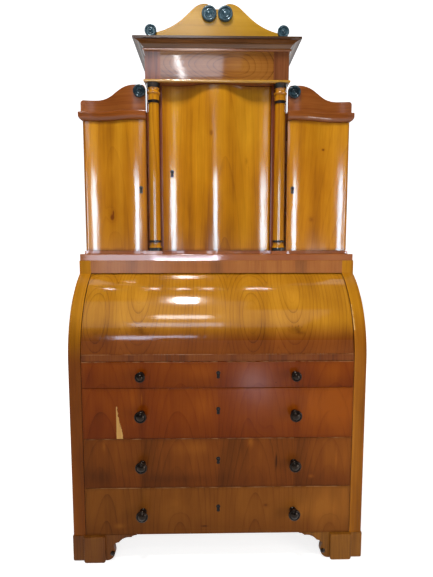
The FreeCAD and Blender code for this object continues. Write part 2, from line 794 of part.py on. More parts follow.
def sector(outer, inner, start_outer, start_inner, end, x):
    return slab_x([
        polar(outer, start_outer),
        (polar(outer, (start_outer + end) / 2), polar(outer, end)),
        polar(inner, end),
        (polar(inner, (start_inner + end) / 2), polar(inner, start_inner)),
    ], x)


def cylinder_shell():
    half = BAY - CYLINDER_PLAY
    low, end = shell_ends()
    return sector(SHELL_RADIUS, SHELL_INNER, math.asin(low / SHELL_RADIUS),
                  math.asin(low / SHELL_INNER), end, (-half, half))


def cylinder_rail():
    half = BAY - CYLINDER_PLAY
    front = FRONT + RAIL_INSET
    rail = box((-half, half), (front, front + RAIL_DEPTH), (Z_RAIL + RAIL_LIFT, Z_RAIL + RAIL_HEIGHT))
    return rounded(rail, FRONT_ROUND, lambda p: near(p.y, front))


def bar(radius_a, a, radius_b, b, x):
    # Flat link with round ends at two points of the YZ plane.
    length = math.hypot(b[0] - a[0], b[1] - a[1])
    across = ((a[1] - b[1]) / length, (b[0] - a[0]) / length)

    def side(point, offset):
        return (point[0] + across[0] * offset, point[1] + across[1] * offset)

    body = slab_x([side(a, radius_a), side(b, radius_b), side(b, -radius_b), side(a, -radius_a)], x)
    return joined(body, rod_x(radius_a, x, *a), rod_x(radius_b, x, *b))


def cylinder_arm():
    # End rib under the shell and an arm from it to a hub on the pivot pin.
    low, end = shell_ends()
    margin = math.radians(RIB_MARGIN)
    start = math.asin(low / SHELL_INNER) + margin
    inside = SHELL_INNER - RIB_WIDTH
    plate = (ARM_X, ARM_X + ARM_THICKNESS)
    axis = (Y_AXIS, Z_AXIS)
    rib = sector(SHELL_INNER, inside, start, start, end - margin, plate)
    middle = polar(inside, (start + end - margin) / 2)
    arm = bar(HUB_RADIUS, axis, HUB_RADIUS + ARM_SPREAD, middle, plate)
    hub = rod_x(HUB_RADIUS, (ARM_X, LEVER_X), *axis)
    return joined(rib, arm, hub).cut(pivot_bore((ARM_X, LEVER_X)))


def cylinder_lever():
    # Lever on the hub's outer end, in the gap beside the drawers, with a pin for the slide's bracket.
    across = (LEVER_X, LEVER_X + LEVER_THICKNESS)
    drive = (Y_DRIVE, Z_DRIVE)
    lever = bar(HUB_RADIUS, (Y_AXIS, Z_AXIS), LEVER_EYE, drive, across)
    pin = rod_x(DRIVE_PIN_RADIUS, (PLATE_X - DRIVE_PIN_TAIL, LEVER_X), *drive)
    return joined(lever, pin).cut(pivot_bore(across))


def pivot_bore(x):
    return rod_x(PIVOT_RADIUS + PIVOT_CLEARANCE, x, Y_AXIS, Z_AXIS)


def cylinder_pivot():
    return rod_x(PIVOT_RADIUS, (ARM_X, INNER + PIVOT_SEAT), Y_AXIS, Z_AXIS)


# Desk interior

def desk_bed():
    z = (Z_RAIL + DESK_LIFT, Z_RAIL + DESK_LIFT + DESK_THICKNESS)
    behind = Y_AXIS + HUB_RADIUS + LINKAGE_ROOM
    nose = box((-SLIDE_HALF, SLIDE_HALF), (Y_DESK, behind), z)
    return joined(nose, box((-INNER, INNER), (behind, BACK_FACE), z))


def pigeonhole_case():
    foot = Z_RAIL + DESK_LIFT + DESK_THICKNESS
    top = foot + PIGEON_HEIGHT
    back = BACK_FACE - DESK_BACK_ROOM
    deep = (Y_DESK, back - PIGEON_BACK)
    rise = (foot, top - PIGEON_BOARD)
    wall = box((SLIDE_HALF - PIGEON_BOARD, SLIDE_HALF), deep, rise)
    partition = box((PIGEON_CENTRE, PIGEON_CENTRE + PIGEON_BOARD), deep, rise)
    shelf = foot + DESK_DRAWER_HEIGHT
    side_shelf = box((PIGEON_CENTRE + PIGEON_BOARD, SLIDE_HALF - PIGEON_BOARD), deep,
                     (shelf, shelf + PIGEON_BOARD))
    centre = foot + PIGEON_SHELF
    centre_shelf = box((-PIGEON_CENTRE, PIGEON_CENTRE), deep, (centre, centre + PIGEON_BOARD))
    lid = box((-SLIDE_HALF, SLIDE_HALF), deep, (top - PIGEON_BOARD, top))
    panel = box((-SLIDE_HALF, SLIDE_HALF), (deep[1], back), (foot, top))
    return pair(wall, partition, side_shelf) + [centre_shelf, lid, panel]


def desk_drawer():
    foot = Z_RAIL + DESK_LIFT + DESK_THICKNESS + RUN_GAP
    top = foot + DESK_DRAWER_HEIGHT - RUN_GAP - DESK_DRAWER_GAP
    left = PIGEON_CENTRE + PIGEON_BOARD + DESK_DRAWER_GAP
    right = SLIDE_HALF - PIGEON_BOARD - DESK_DRAWER_GAP
    front = Y_DESK + DESK_DRAWER_FRONT
    end = front + DESK_DRAWER_LENGTH
    rim = top - DESK_DRAWER_RIM
    floor_top = foot + DESK_DRAWER_FLOOR
    inside = (left + DESK_DRAWER_WALL, right - DESK_DRAWER_WALL)
    leaf = box((left, right), (Y_DESK, front), (foot, top))
    wall_left = box((left, inside[0]), (front, end), (foot, rim))
    wall_right = box((inside[1], right), (front, end), (foot, rim))
    floor = box(inside, (front, end), (foot, floor_top))
    back = box(inside, (end - DESK_DRAWER_WALL, end), (floor_top, rim))
    pull = knob((left + right) / 2, (foot + top) / 2, Y_DESK, DESK_KNOB_RADIUS, DESK_KNOB_REACH,
                DESK_KNOB_COLLAR_RADIUS, DESK_KNOB_COLLAR_HEIGHT, DESK_KNOB_NECK_RADIUS,
                DESK_KNOB_RIM, DESK_KNOB_DOME, DESK_KNOB_GROOVE)
    return [leaf, wall_left, wall_right, floor, back, pull]


# Upper case

def door_pin_places():
    # Axis of each door and the height of the board above it.
    return [
        (CENTRE_HINGE, Z_SOFFIT),
        (SIDE_HINGE, Z_CAP),
        ((-SIDE_HINGE[0], SIDE_HINGE[1]), Z_CAP),
    ]


def door_pins():
    pins = []
    for (x, y), high in door_pin_places():
        pins.append(rod_z(DOOR_PIN_RADIUS, x, y, (Z_DECK - DOOR_PIN_SEAT, Z_DECK + DOOR_PIN_REACH)))
        pins.append(rod_z(DOOR_PIN_RADIUS, x, y, (high - DOOR_PIN_REACH, high + DOOR_PIN_SEAT)))
    return pins


def upper_deck():
    z = (Z_PLINTH, Z_DECK)
    end = UPPER_HALF + DECK_PROUD
    centre = slab_z(CENTRE_WAVE.run(-PILASTER_IN, PILASTER_IN, DECK_PROUD)
                    + [(PILASTER_IN, BACK), (-PILASTER_IN, BACK)], z)
    pedestal = box((PILASTER_IN, PILASTER_OUT), (Y_PEDESTAL, BACK), z)
    side = slab_z(SIDE_WAVE.run(PILASTER_OUT, end, DECK_PROUD) + [(end, BACK), (PILASTER_OUT, BACK)], z)
    return joined(centre, *pair(pedestal, side)).cut(door_pins())


def upper_wall():
    front = SIDE_WAVE.y(UPPER_WALL, -DOOR_THICKNESS) + DOOR_WALL_GAP
    return box((UPPER_WALL, UPPER_HALF), (front, BACK_FACE), (Z_DECK, Z_CAP))


def partition():
    return box((PILASTER_OUT - BOARD, PILASTER_OUT), (Y_PARTITION, BACK_FACE), (Z_DECK, Z_SOFFIT))


def pilaster():
    return box((PILASTER_IN, PILASTER_OUT), (Y_PILASTER, Y_PARTITION), (Z_DECK, Z_SOFFIT))


def upper_backs():
    deep = (BACK_FACE, BACK)
    centre = box((-PILASTER_OUT, PILASTER_OUT), deep, (Z_DECK, Z_SOFFIT))
    return [centre] + pair(box((PILASTER_OUT, UPPER_HALF), deep, (Z_DECK, Z_CAP)))


def shelf_heights(top):
    step = (top - Z_DECK - SHELF_COUNT * BOARD) / (SHELF_COUNT + 1)
    return [Z_DECK + (n + 1) * step + n * BOARD for n in range(SHELF_COUNT)]


def shelves():
    boards = []
    inside = PILASTER_OUT - BOARD
    for z in shelf_heights(Z_SOFFIT):
        boards.append(box((-inside, inside), (Y_PARTITION + SHELF_ROOM, BACK_FACE), (z, z + BOARD)))
    front = Y_CREST + WAVE_DEPTH + DOOR_THICKNESS + SHELF_ROOM
    for z in shelf_heights(Z_CAP):
        boards += pair(box((PILASTER_OUT, UPPER_WALL), (front, BACK_FACE), (z, z + BOARD)))
    return boards


def side_cap():
    end = UPPER_HALF + CAP_END
    cap = slab_z(SIDE_WAVE.run(PILASTER_OUT, end, CAP_PROUD) + [(end, BACK), (PILASTER_OUT, BACK)],
                 (Z_CAP, Z_CREST))

    def outside(p, level):
        return near(p.z, level) and (near(p.x, end) or not near(p.y, BACK))

    cap = rounded(cap, CAP_TOP_ROUND, lambda p: outside(p, Z_CREST))
    return rounded(cap, CAP_LOW_ROUND, lambda p: outside(p, Z_CAP)).cut(door_pins())


def crest_outline():
    # Front view of the crest: flat outer end, S curve up, flat top, round inner corner.
    # The S is two equal arcs with a straight between them, a little less steep than arcs alone.
    inner = SIDE_EDGE
    end = UPPER_HALF + CREST_END
    low = Z_CREST + CREST_LOW
    high = low + CREST_RISE
    foot = end - (end - inner) * CREST_FLAT_SHARE
    crown = inner + (end - inner) * CREST_CROWN_SHARE
    run = foot - crown
    slope = 2 * math.atan(CREST_RISE / run) * CREST_SLOPE_SHARE
    radius = (run * math.sin(slope) - CREST_RISE * math.cos(slope)) / (2 - 2 * math.cos(slope))

    def bend(angle):
        return (radius * math.sin(angle), radius * (1 - math.cos(angle)))

    turn = bend(slope)
    half = bend(slope / 2)
    corner = CREST_CORNER * (1 - math.cos(math.pi / 4))
    return [
        (inner, Z_CREST),
        (end, Z_CREST),
        (end, low - CREST_CORNER),
        ((end - corner, low - corner), (end - CREST_CORNER, low)),
        (foot, low),
        ((foot - half[0], low + half[1]), (foot - turn[0], low + turn[1])),
        (crown + turn[0], high - turn[1]),
        ((crown + half[0], high - half[1]), (crown, high)),
        (inner + CREST_CORNER, high),
        ((inner + corner, high - corner), (inner, high - CREST_CORNER)),
    ]


def side_crest():
    # The bent board is longer and taller than the crest, then sawn to its outline.
    start = SIDE_EDGE - CREST_CORNER
    end = UPPER_HALF + CREST_END + CREST_CORNER
    plan = (SIDE_WAVE.run(start, end, CREST_PROUD)
            + SIDE_WAVE.run(end, start, CREST_PROUD - CREST_THICKNESS))
    top = Z_CREST + CREST_LOW + CREST_RISE
    board = slab_z(plan, (Z_CREST - CREST_CORNER, top + CREST_CORNER))
    return board.common(slab_y(crest_outline(), (FRONT, BACK)))


def roundel_profile(radius, thickness, sunk):
    # Turned disc: half-round rim, flat groove, inner bead and a domed centre; sunk lengthens it backwards.
    rim = thickness - ROUNDEL_RIM / 2
    floor = thickness - ROUNDEL_GROOVE
    inner = radius - ROUNDEL_RIM
    bead_out = inner - ROUNDEL_STEP
    bead_in = bead_out - ROUNDEL_BEAD
    bead_top = ((bead_out + bead_in) / 2, floor + ROUNDEL_BEAD_RISE)
    return [
        (0.0, -sunk),
        (radius, -sunk),
        (radius, rim),
        ((radius - ROUNDEL_RIM / 2, thickness), (inner, rim)),
        (inner, floor),
        (bead_out, floor),
        (bead_top, (bead_in, floor + ROUNDEL_LIFT)),
        dome(bead_in, floor + ROUNDEL_LIFT, thickness),
    ]


def crest_roundel(crest):
    x = SIDE_EDGE + CREST_ROUNDEL_INSET
    face = SIDE_WAVE.y(SIDE_WAVE.bulge[0], CREST_PROUD)
    items = roundel_profile(CREST_ROUNDEL_RADIUS, CREST_ROUNDEL_THICKNESS, CREST_PROUD)
    return turned_out(items, x, face, Z_CREST + CREST_ROUNDEL_HEIGHT).cut(crest)


def door(wave, edge, start, high, key_x, key_z):
    # Serpentine leaf from x = start to a half-round hinge edge, with a mortised lock near its start.
    centre, front, tip, back = wave.hinge(edge, DOOR_THICKNESS)
    low = Z_DECK + DOOR_GAP
    top = high - DOOR_GAP
    items = wave.run(start, front[0], 0.0)
    items.append((tip, back))
    items += wave.run(back[0], start, -DOOR_THICKNESS)[1:]
    leaf = slab_z(items, (low, top))
    deep = DOOR_PIN_REACH + DOOR_PIN_ROOM
    bore = DOOR_PIN_RADIUS + DOOR_PIN_CLEARANCE
    leaf = leaf.cut([rod_z(bore, *centre, (low, Z_DECK + deep)), rod_z(bore, *centre, (high - deep, top))])
    x = (start + LOCK_MARGIN, start + LOCK_MARGIN + DOOR_LOCK_WIDTH)
    shallow = min(max(wave.bulge[0], x[0]), x[1])
    inside = min(wave.y(at, -DOOR_THICKNESS) for at in (*x, shallow))
    y = (inside - DOOR_LOCK_DEPTH, inside)
    case = box(x, y, (key_z - LOCK_HEIGHT / 2, key_z + LOCK_HEIGHT / 2))
    bolt = box((start, x[0]), (y[0] + BOLT_INSET, y[1] - BOLT_INSET),
               (key_z - BOLT_WIDTH / 2, key_z + BOLT_WIDTH / 2))
    face = min(wave.y(key_x + side, 0.0) for side in (-PLATE_HEAD, 0.0, PLATE_HEAD))
    return fitted_lock(leaf, key_x, key_z, face, case, bolt)


# Columns

def stack(z, pieces):
    # Turned pieces set on one another; each is (profile of its height, height).
    solids = []
    for make, height in pieces:
        solids.append(turned_up(make(z, z + height), COLUMN_X, Y_COLUMN))
        z += height
    return solids


def drum(radius):
    return lambda low, high: [(0.0, low), (radius, low), (radius, high), (0.0, high)]


def torus(radius):
    def items(low, high):
        core = radius - (high - low) / 2
        return [(0.0, low), (core, low), ((radius, (low + high) / 2), (core, high)), (0.0, high)]
    return items


def taper(low_radius, high_radius):
    return lambda low, high: [(0.0, low), (low_radius, low), (high_radius, high), (0.0, high)]


def hollowed(low_radius, low, high_radius, high):
    # Arc from one rim to the next, sunk towards the axis.
    middle = ((low_radius + high_radius) / 2 - COLUMN_HOLLOW, (low + high) / 2)
    return (middle, (high_radius, high))


def flare(low, high):
    return [
        (0.0, low),
        (COLUMN_FLARE_RADIUS, low),
        hollowed(COLUMN_FLARE_RADIUS, low, COLUMN_WAIST_RADIUS, high),
        (0.0, high),
    ]


def capital(low, high):
    # Neck, half-round astragal and hollow echinus turned from one piece.
    neck = low + COLUMN_NECK_HEIGHT
    echinus = high - COLUMN_ECHINUS_HEIGHT
    core = COLUMN_ASTRAGAL_RADIUS - COLUMN_ASTRAGAL_HEIGHT / 2
    return [
        (0.0, low),
        (COLUMN_NECK_RADIUS, low),
        (COLUMN_NECK_RADIUS, neck),
        (core, neck),
        ((COLUMN_ASTRAGAL_RADIUS, (neck + echinus) / 2), (core, echinus)),
        (COLUMN_HEAD_RADIUS, echinus),
        hollowed(COLUMN_HEAD_RADIUS, echinus, COLUMN_CAPITAL_RADIUS, high),
        (0.0, high),
    ]


def column():
    head = COLUMN_NECK_HEIGHT + COLUMN_ASTRAGAL_HEIGHT + COLUMN_ECHINUS_HEIGHT
    rest = (COLUMN_BASE_HEIGHT + COLUMN_FLARE_HEIGHT + COLUMN_RING_HEIGHT + COLUMN_BAND_HEIGHT
            + head + COLUMN_ABACUS_HEIGHT)
    solids = stack(Z_DECK, [
        (drum(COLUMN_BASE_RADIUS), COLUMN_BASE_HEIGHT),
        (flare, COLUMN_FLARE_HEIGHT),
        (torus(COLUMN_RING_RADIUS), COLUMN_RING_HEIGHT),
        (taper(COLUMN_FOOT_RADIUS, COLUMN_HEAD_RADIUS), CENTRE_HEIGHT - rest),
        (drum(COLUMN_BAND_RADIUS), COLUMN_BAND_HEIGHT),
        (capital, head),
        (taper(COLUMN_CAPITAL_RADIUS, COLUMN_ABACUS_RADIUS), COLUMN_ABACUS_HEIGHT),
    ])
    return solids[1::2], solids[0::2]


# Entablature

def mitred(profile, proud):
    # A moulding round the front and both ends, in three lengths with mitred corners.
    # Profile points are (distance out, height).
    half = PILASTER_OUT
    face = Y_ENTABLATURE
    heights = [point[1] for item in profile for point in (item if isinstance(item[0], tuple) else [item])]
    z = (min(heights), max(heights))

    def swept(flip, run):
        def place(point):
            return flip(point[0], point[1])
        items = [tuple(place(p) for p in item) if isinstance(item[0], tuple) else place(item)
                 for item in profile]
        return run(items)

    front = swept(lambda out, up: (face - out, up), lambda items: slab_x(items, (-half - proud, half + proud)))
    side = swept(lambda out, up: (half + out, up), lambda items: slab_y(items, (face - proud, BACK)))
    front_zone = slab_z([(-half, face), (half, face), (half + proud, face - proud),
                         (-half - proud, face - proud)], z)
    side_zone = slab_z([(half, face), (half + proud, face - proud), (half + proud, BACK), (half, BACK)], z)
    return [front.common(front_zone)] + pair(side.common(side_zone))


def bead(z, height, proud):
    return mitred([(0.0, z), ((proud, z + height / 2), (0.0, z + height))], proud)


def cornice():
    # Hollow cove that ends level under a square fillet.
    out = CORNICE_PROUD - COVE_FOOT
    radius = (out ** 2 + COVE_HEIGHT ** 2) / (2 * COVE_HEIGHT)
    half = math.asin(out / radius) / 2
    cove_top = Z_CORNICE + COVE_HEIGHT
    middle = (CORNICE_PROUD - radius * math.sin(half), cove_top - radius * (1 - math.cos(half)))
    return mitred([
        (0.0, Z_CORNICE),
        (COVE_FOOT, Z_CORNICE),
        (middle, (CORNICE_PROUD, cove_top)),
        (CORNICE_PROUD, Z_CORNICE_TOP),
        (0.0, Z_CORNICE_TOP),
    ], CORNICE_PROUD)


def entablature_boards():
    across = (-PILASTER_OUT, PILASTER_OUT)
    deep = (Y_ENTABLATURE, BACK)
    return [
        box(across, deep, (Z_SOFFIT, Z_ENTABLATURE)).cut(door_pins()),
        box(across, deep, (Z_CORNICE_TOP - BOARD, Z_CORNICE_TOP)),
    ]


def entablature_panels():
    z = (Z_ENTABLATURE, Z_CORNICE_TOP - BOARD)
    front = (Y_ENTABLATURE, Y_ENTABLATURE + BOARD)
    middle = box((-PILASTER_IN, PILASTER_IN), front, z)
    block = box((PILASTER_IN, PILASTER_OUT), front, z)
    end = box((PILASTER_OUT - BOARD, PILASTER_OUT), (front[1], BACK), z)
    back = box((BOARD - PILASTER_OUT, PILASTER_OUT - BOARD), (BACK_FACE, BACK), z)
    return [middle, back] + pair(block, end)


def pediment_side():
    # Right half of the pediment's upper edge, from the valley out to its low end.
    apex = Z_CORNICE_TOP + PEDIMENT_HEIGHT
    dip = math.radians(PEDIMENT_VALLEY_SLOPE)
    slope = math.radians(PEDIMENT_SLOPE)
    end_slope = math.radians(PEDIMENT_END_SLOPE)

    def lobe(radius, angle, side):
        return (PEDIMENT_LOBE_X + side * radius * math.sin(angle), apex - radius * (1 - math.cos(angle)))

    inner = lobe(PEDIMENT_LOBE_INNER, dip, -1)
    valley = inner[0] / math.sin(dip)
    valley_z = inner[1] - valley * (1 - math.cos(dip))
    outer = lobe(PEDIMENT_LOBE_OUTER, slope, 1)
    bend = (outer[0] + PEDIMENT_STRAIGHT * math.cos(slope), outer[1] - PEDIMENT_STRAIGHT * math.sin(slope))

    def hollow(angle):
        return (bend[0] + PEDIMENT_HOLLOW * (math.sin(slope) - math.sin(angle)),
                bend[1] - PEDIMENT_HOLLOW * (math.cos(angle) - math.cos(slope)))

    low = hollow(end_slope)
    tip = (PEDIMENT_END_X, low[1] - (PEDIMENT_END_X - low[0]) * math.tan(end_slope))
    half_valley = (valley * math.sin(dip / 2), valley_z + valley * (1 - math.cos(dip / 2)))
    return [
        (0.0, valley_z),
        (half_valley, inner),
        (lobe(PEDIMENT_LOBE_INNER, dip / 2, -1), (PEDIMENT_LOBE_X, apex)),
        (lobe(PEDIMENT_LOBE_OUTER, slope / 2, 1), outer),
        bend,
        (hollow((slope + end_slope) / 2), low),
        tip,
        (PEDIMENT_END_X, Z_CORNICE_TOP),
        (0.0, Z_CORNICE_TOP),
    ]


def pediment():
    half = slab_y(pediment_side(), (Y_ENTABLATURE, Y_ENTABLATURE + PEDIMENT_THICKNESS))
    return joined(half, mirrored(half))


def pediment_roundels():
    disc = turned_out(roundel_profile(ROUNDEL_RADIUS, ROUNDEL_THICKNESS, 0.0),
                      ROUNDEL_X, Y_ENTABLATURE, Z_CORNICE_TOP + ROUNDEL_HEIGHT)
    boss = turned_out(roundel_profile(BOSS_RADIUS, BOSS_THICKNESS, 0.0),
                      BOSS_X, Y_ENTABLATURE, Z_CORNICE_TOP + BOSS_HEIGHT)
    return pair(disc, boss)


# All nodes

def save_lower_case():
    save("lower_sides", pair(lower_sides()))
    save("front_stiles", pair(front_stile()))
    save("bottom_board", [dust_board(Z_CASE)])
    save("dust_boards", [dust_board(Z_MIDDLE), dust_board(Z_UPPER), slide_bed()])
    save("lower_back", [lower_back()])
    save("drawer_guides", drawer_guides())
    save("front_feet", pair(*front_foot()))
    save("back_feet", pair(back_foot()))
    save("frieze_rail", [frieze_rail()])
    save("bureau_top", [bureau_top()])
    save("desk_bed", [desk_bed()])
    save("pigeonhole_case", pigeonhole_case())
    save("cylinder_pivots", pair(cylinder_pivot()))


def save_moving_lower():
    save("cylinder_shell", [cylinder_shell()])
    save("cylinder_rail", [cylinder_rail()])
    save("cylinder_arms", pair(cylinder_arm()))
    save("cylinder_levers", pair(cylinder_lever()))
    save_slide()
    save_drawer("upper_drawer", Z_UPPER, Z_SLIDE)
    save_drawer("middle_drawer", Z_MIDDLE, Z_UPPER)
    save_drawer("lower_drawer", Z_CASE, Z_MIDDLE)
    small = desk_drawer()
    save("desk_drawer_right", small)
    save("desk_drawer_left", [mirrored(solid) for solid in small])


def save_upper_case():
    crest = side_crest()
    shafts, rings = column()
    save("upper_deck", [upper_deck()])
    save("upper_uprights", pair(upper_wall(), partition()))
    save("pilasters", pair(pilaster()))
    save("upper_backs", upper_backs())
    save("shelves", shelves())
    save("side_caps", pair(side_cap()))
    save("side_crests", pair(crest))
    save("column_shafts", pair(*shafts))
    save("column_rings", pair(*rings))
    save("entablature_boards", entablature_boards())
    save("entablature_panels", entablature_panels())
    save("bead_mouldings", bead(Z_SOFFIT, LOWER_BEAD_HEIGHT, LOWER_BEAD_PROUD)
         + bead(Z_UPPER_BEAD, UPPER_BEAD_HEIGHT, UPPER_BEAD_PROUD))
    save("cornice", cornice())
    save("pediment", [pediment()])
    save("roundels", pediment_roundels() + pair(crest_roundel(crest), foot_eye()))
    save("door_pins", door_pins())


def save_doors():
    leaf, lock = door(SIDE_WAVE, UPPER_HALF, SIDE_EDGE, Z_CAP, SIDE_EDGE + SIDE_KEY_INSET,
                      Z_DECK + SIDE_KEY_HEIGHT)
    save("right_door", [leaf])
    save("right_door_lock", lock)
    save("left_door", [mirrored(leaf)])
    save("left_door_lock", [mirrored(solid) for solid in lock])
    leaf, lock = door(CENTRE_WAVE, CENTRE_EDGE, -CENTRE_EDGE, Z_SOFFIT, CENTRE_KEY_INSET - CENTRE_EDGE,
                      Z_DECK + CENTRE_KEY_HEIGHT)
    save("centre_door", [leaf])
    save("centre_door_lock", lock)


os.makedirs("parts", exist_ok=True)
save_lower_case()
save_moving_lower()
save_upper_case()
save_doors()
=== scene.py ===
import math

import bpy
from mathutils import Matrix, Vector


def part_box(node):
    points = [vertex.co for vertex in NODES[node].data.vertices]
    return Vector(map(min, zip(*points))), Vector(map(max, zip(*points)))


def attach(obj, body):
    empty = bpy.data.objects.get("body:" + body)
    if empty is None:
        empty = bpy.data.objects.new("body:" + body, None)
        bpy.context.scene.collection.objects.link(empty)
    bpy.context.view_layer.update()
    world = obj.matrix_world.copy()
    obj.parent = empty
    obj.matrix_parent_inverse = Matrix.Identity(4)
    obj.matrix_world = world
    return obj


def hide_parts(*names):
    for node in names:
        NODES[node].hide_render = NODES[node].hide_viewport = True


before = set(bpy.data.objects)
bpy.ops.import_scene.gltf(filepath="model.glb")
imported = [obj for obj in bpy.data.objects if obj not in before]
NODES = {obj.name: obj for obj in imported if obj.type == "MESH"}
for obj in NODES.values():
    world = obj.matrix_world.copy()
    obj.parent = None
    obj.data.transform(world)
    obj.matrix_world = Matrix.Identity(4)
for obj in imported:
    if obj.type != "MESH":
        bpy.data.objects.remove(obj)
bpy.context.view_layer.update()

MM = 0.001

# The photograph's frame and the view it was taken from, in metres and degrees.
PICTURE_WIDTH = 433
FOCAL_PIXELS = 450
CAMERA_PLACE = (-0.040, -1.8975, 1.219)
CAMERA_PITCH = 5.9
CAMERA_YAW = 1.18
SENSOR_WIDTH = 36.0

# Places read from the frame, in millimetres.
PIVOT = [(low + high) / 2 / MM for low, high in zip(*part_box("cylinder_pivots"))]
SHELL_RADIUS = PIVOT[1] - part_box("cylinder_shell")[0].y / MM
BEAD_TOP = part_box("bead_mouldings")[1].z / MM
FRONT_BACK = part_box("lower_drawer_front")[1].y / MM

# Kinds of shader node that the materials use most.
MATH = "ShaderNodeMath"
VECTOR = "ShaderNodeVectorMath"
NOISE = "ShaderNodeTexNoise"
RANGE = "ShaderNodeMapRange"
MIX = "ShaderNodeMix"
SPLIT = "ShaderNodeSeparateXYZ"
JOIN = "ShaderNodeCombineXYZ"
RAMP = "ShaderNodeValToRGB"
CHANCE = "ShaderNodeTexWhiteNoise"
BUMP = "ShaderNodeBump"

# Cherry veneers and the spruce behind them; the tones are light, middle and dark.
GOLD = ("#d08f1c", "#b0700b", "#773a05")
# The centre door's tones below are the door gold painted brighter: painted light for a door that the daylight is
# kept off.
PAINTED_LIT_GOLD = ("#f3a920", "#d2850e", "#8e4707")
AMBER = ("#cf8f24", "#ad7013", "#68390b")
BROWN = ("#8c4409", "#722f04", "#3c1703")
UMBER = ("#8b4d16", "#71390f", "#3b1c07")
TAWNY = ("#90561d", "#744013", "#3a1d09")
RED = ("#925420", "#7d4013", "#431f09")
# The left caps' tones below are painted lighter than the crests': painted light.
LEFT_CAP_PAINTED_LIT = ("#985520", "#864410", "#482308")
CHESTNUT = ("#854817", "#6b340f", "#381a0a")
COPPER = ("#a4622a", "#8f4b1d", "#50260e")
TAN = ("#b06e2a", "#98561a", "#542c0c")
PALE = ("#b98c26", "#a37614", "#6e4b0d")
STRAW = ("#bd9038", "#a37322", "#5a3a10")
HONEY = ("#986426", "#824d19", "#46260c")
MAROON = ("#80502e", "#6e3c1e", "#3a1e10")
SMOKED = ("#8a5a2a", "#6c421d", "#361e0e")
SOOTY = ("#5c3c22", "#462c18", "#24160c")
# The cornice ends' tones below are a dark grey: painted shade.
CORNICE_END_PAINTED_SHADE = ("#5c4a3e", "#46382e", "#241c16")
# The upper bead's pale tones below are a painted highlight.
BEAD_PAINTED_HIGHLIGHT = ("#d8b094", "#8c5226", "#431f09")
SIDE = ("#a8641f", "#8e4d12", "#4c260a")
LEFT_FOOT = ("#7c4a14", "#66360b", "#331a06")
# The right foot's tones below are the left foot's painted lighter: painted light from the right.
RIGHT_FOOT_PAINTED_LIT = ("#96611f", "#7b490f", "#3d2308")
SPRUCE = ("#c49a63", "#a67c48", "#6c4826")

# Bare wood at a rubbed arris, which also stands for a painted glint of light along upper edges, and the pale
# and dark grain of the ground under lost veneer.
ARRIS_BARE_AND_GLINT = "#c89664"
GROUND = ("#e0b067", "#a8702f")

# Noise fields of a board: width across the grain and length along it in millimetres, and detail. The fibres of
# cherry are finer than 2.6 mm and are drawn that coarse to show.
FIELDS = {
    "slow": (230, 900, 1), "wave": (42, 240, 2), "band": (75, 1500, 1), "mottle": (110, 260, 3),
    "streak": (9, 420, 3), "fibre": (2.6, 70, 2), "swell": (95, 150, 1),
}

# Veneer sheets in millimetres: shift of a sheet against its neighbour, width of a glued joint, thickness, and
# depth of the pores.
LEAF_SHIFT = 320.0
JOINT = 1.2
VENEER = 0.6
PORE_DEPTH = 0.012

# Growth rings: bend by the slow field and the waves, in warps; millimetres over which hearts flow together;
# sharpness, least darkness and spread of the late wood; and clear wood round a heart, in rings.
SLOW_BEND = 6.0
WAVE_BEND = 0.4
HEART_BLEND = 12.0
LATE_WOOD = 7.0
LATE_LEAST, LATE_SPREAD = 0.25, 0.75
CLEAR_FROM, CLEAR_TO = 0.8, 2.4

# Knots and stains: how ragged they are, and how their dark core falls off.
MARK_RAGGED = 1.2
MARK_CORE = 2.0

# Soiled rim and pale upper arris of a face, the arris partly rubbed bare and partly a painted glint: widths in
# millimetres, and the waves where the pale line breaks off.
RIM_WIDTH = 14.0
RIM_RAGGED = 16.0
ARRIS_FROM, ARRIS_TO = 0.8, 2.4
BREAK_FROM, BREAK_TO = -0.1, 0.15

# Torn edge of lost veneer, in millimetres: play along the streaks, size and depth of its teeth, and softness.
TEAR_PLAY = 18.0
TEAR_SIZE = 11.11
TEAR_DEPTH = 14.0
TEAR_FROM, TEAR_TO = -0.5, 0.7

# How much the polish dulls with the mottle and on the late wood.
MOTTLE_DULL = 0.1
LATE_DULL = 0.05

# Patterns of the other finishes, in millimetres: worn and dull spots of the black turnings, file marks, pebbles
# and clouds of the hide, pores of end grain, grain of the tails. File marks and pebbles are drawn coarse to show.
BLACK_WEAR = 20.0
BLACK_DULL = 8.333
FILE_WIDTH, FILE_LENGTH = 0.5, 6.667
PEBBLE = 1.818
HIDE_CLOUD = 83.33
END_PORE = 2.857
TAIL_GRAIN_WIDTH, TAIL_GRAIN_LENGTH = 3.333, 50.0

# Dovetails at the ends of the drawer fronts, in millimetres.
TAIL_PITCH = 42.0
TAIL_ROOT = 20.0
TAIL_SLOPE = 0.3
TAIL_LENGTH = 15.0

# Green goatskin, worn and full, and its gilding. Gilt lines: insets from the rim and the half widths where they
# are full and gone, in millimetres, and their depth beside that of the pebbles.
GOATSKIN = ("#4a4c2e", "#2e3c28")
GILDING = "#c9a24c"
LINE_INSETS = (9.0, 25.0)
LINE_FULL, LINE_GONE = 0.5, 0.9
LINE_DEPTH = 1.2

# Gilt stamps between the lines, in millimetres: inset from the rim, level, step, radius and thickness; and
# the size of every second one beside its neighbours.
STAMP_INSET = 17.0
STAMP_LEVEL = 1.65
STAMP_STEP = 11.0
STAMP_RADIUS = 3.4
STAMP_THICKNESS = 0.4
STAMP_SMALL = 0.55

# The skin itself: gap to its recess, mesh step, thickness, thickness at the pared rim, waves, in millimetres.
SKIN_GAP = 0.5
SKIN_STEP = 9.0
SKIN_THICKNESS = 1.65
SKIN_RIM = 1.0
SKIN_WAVE = 0.1

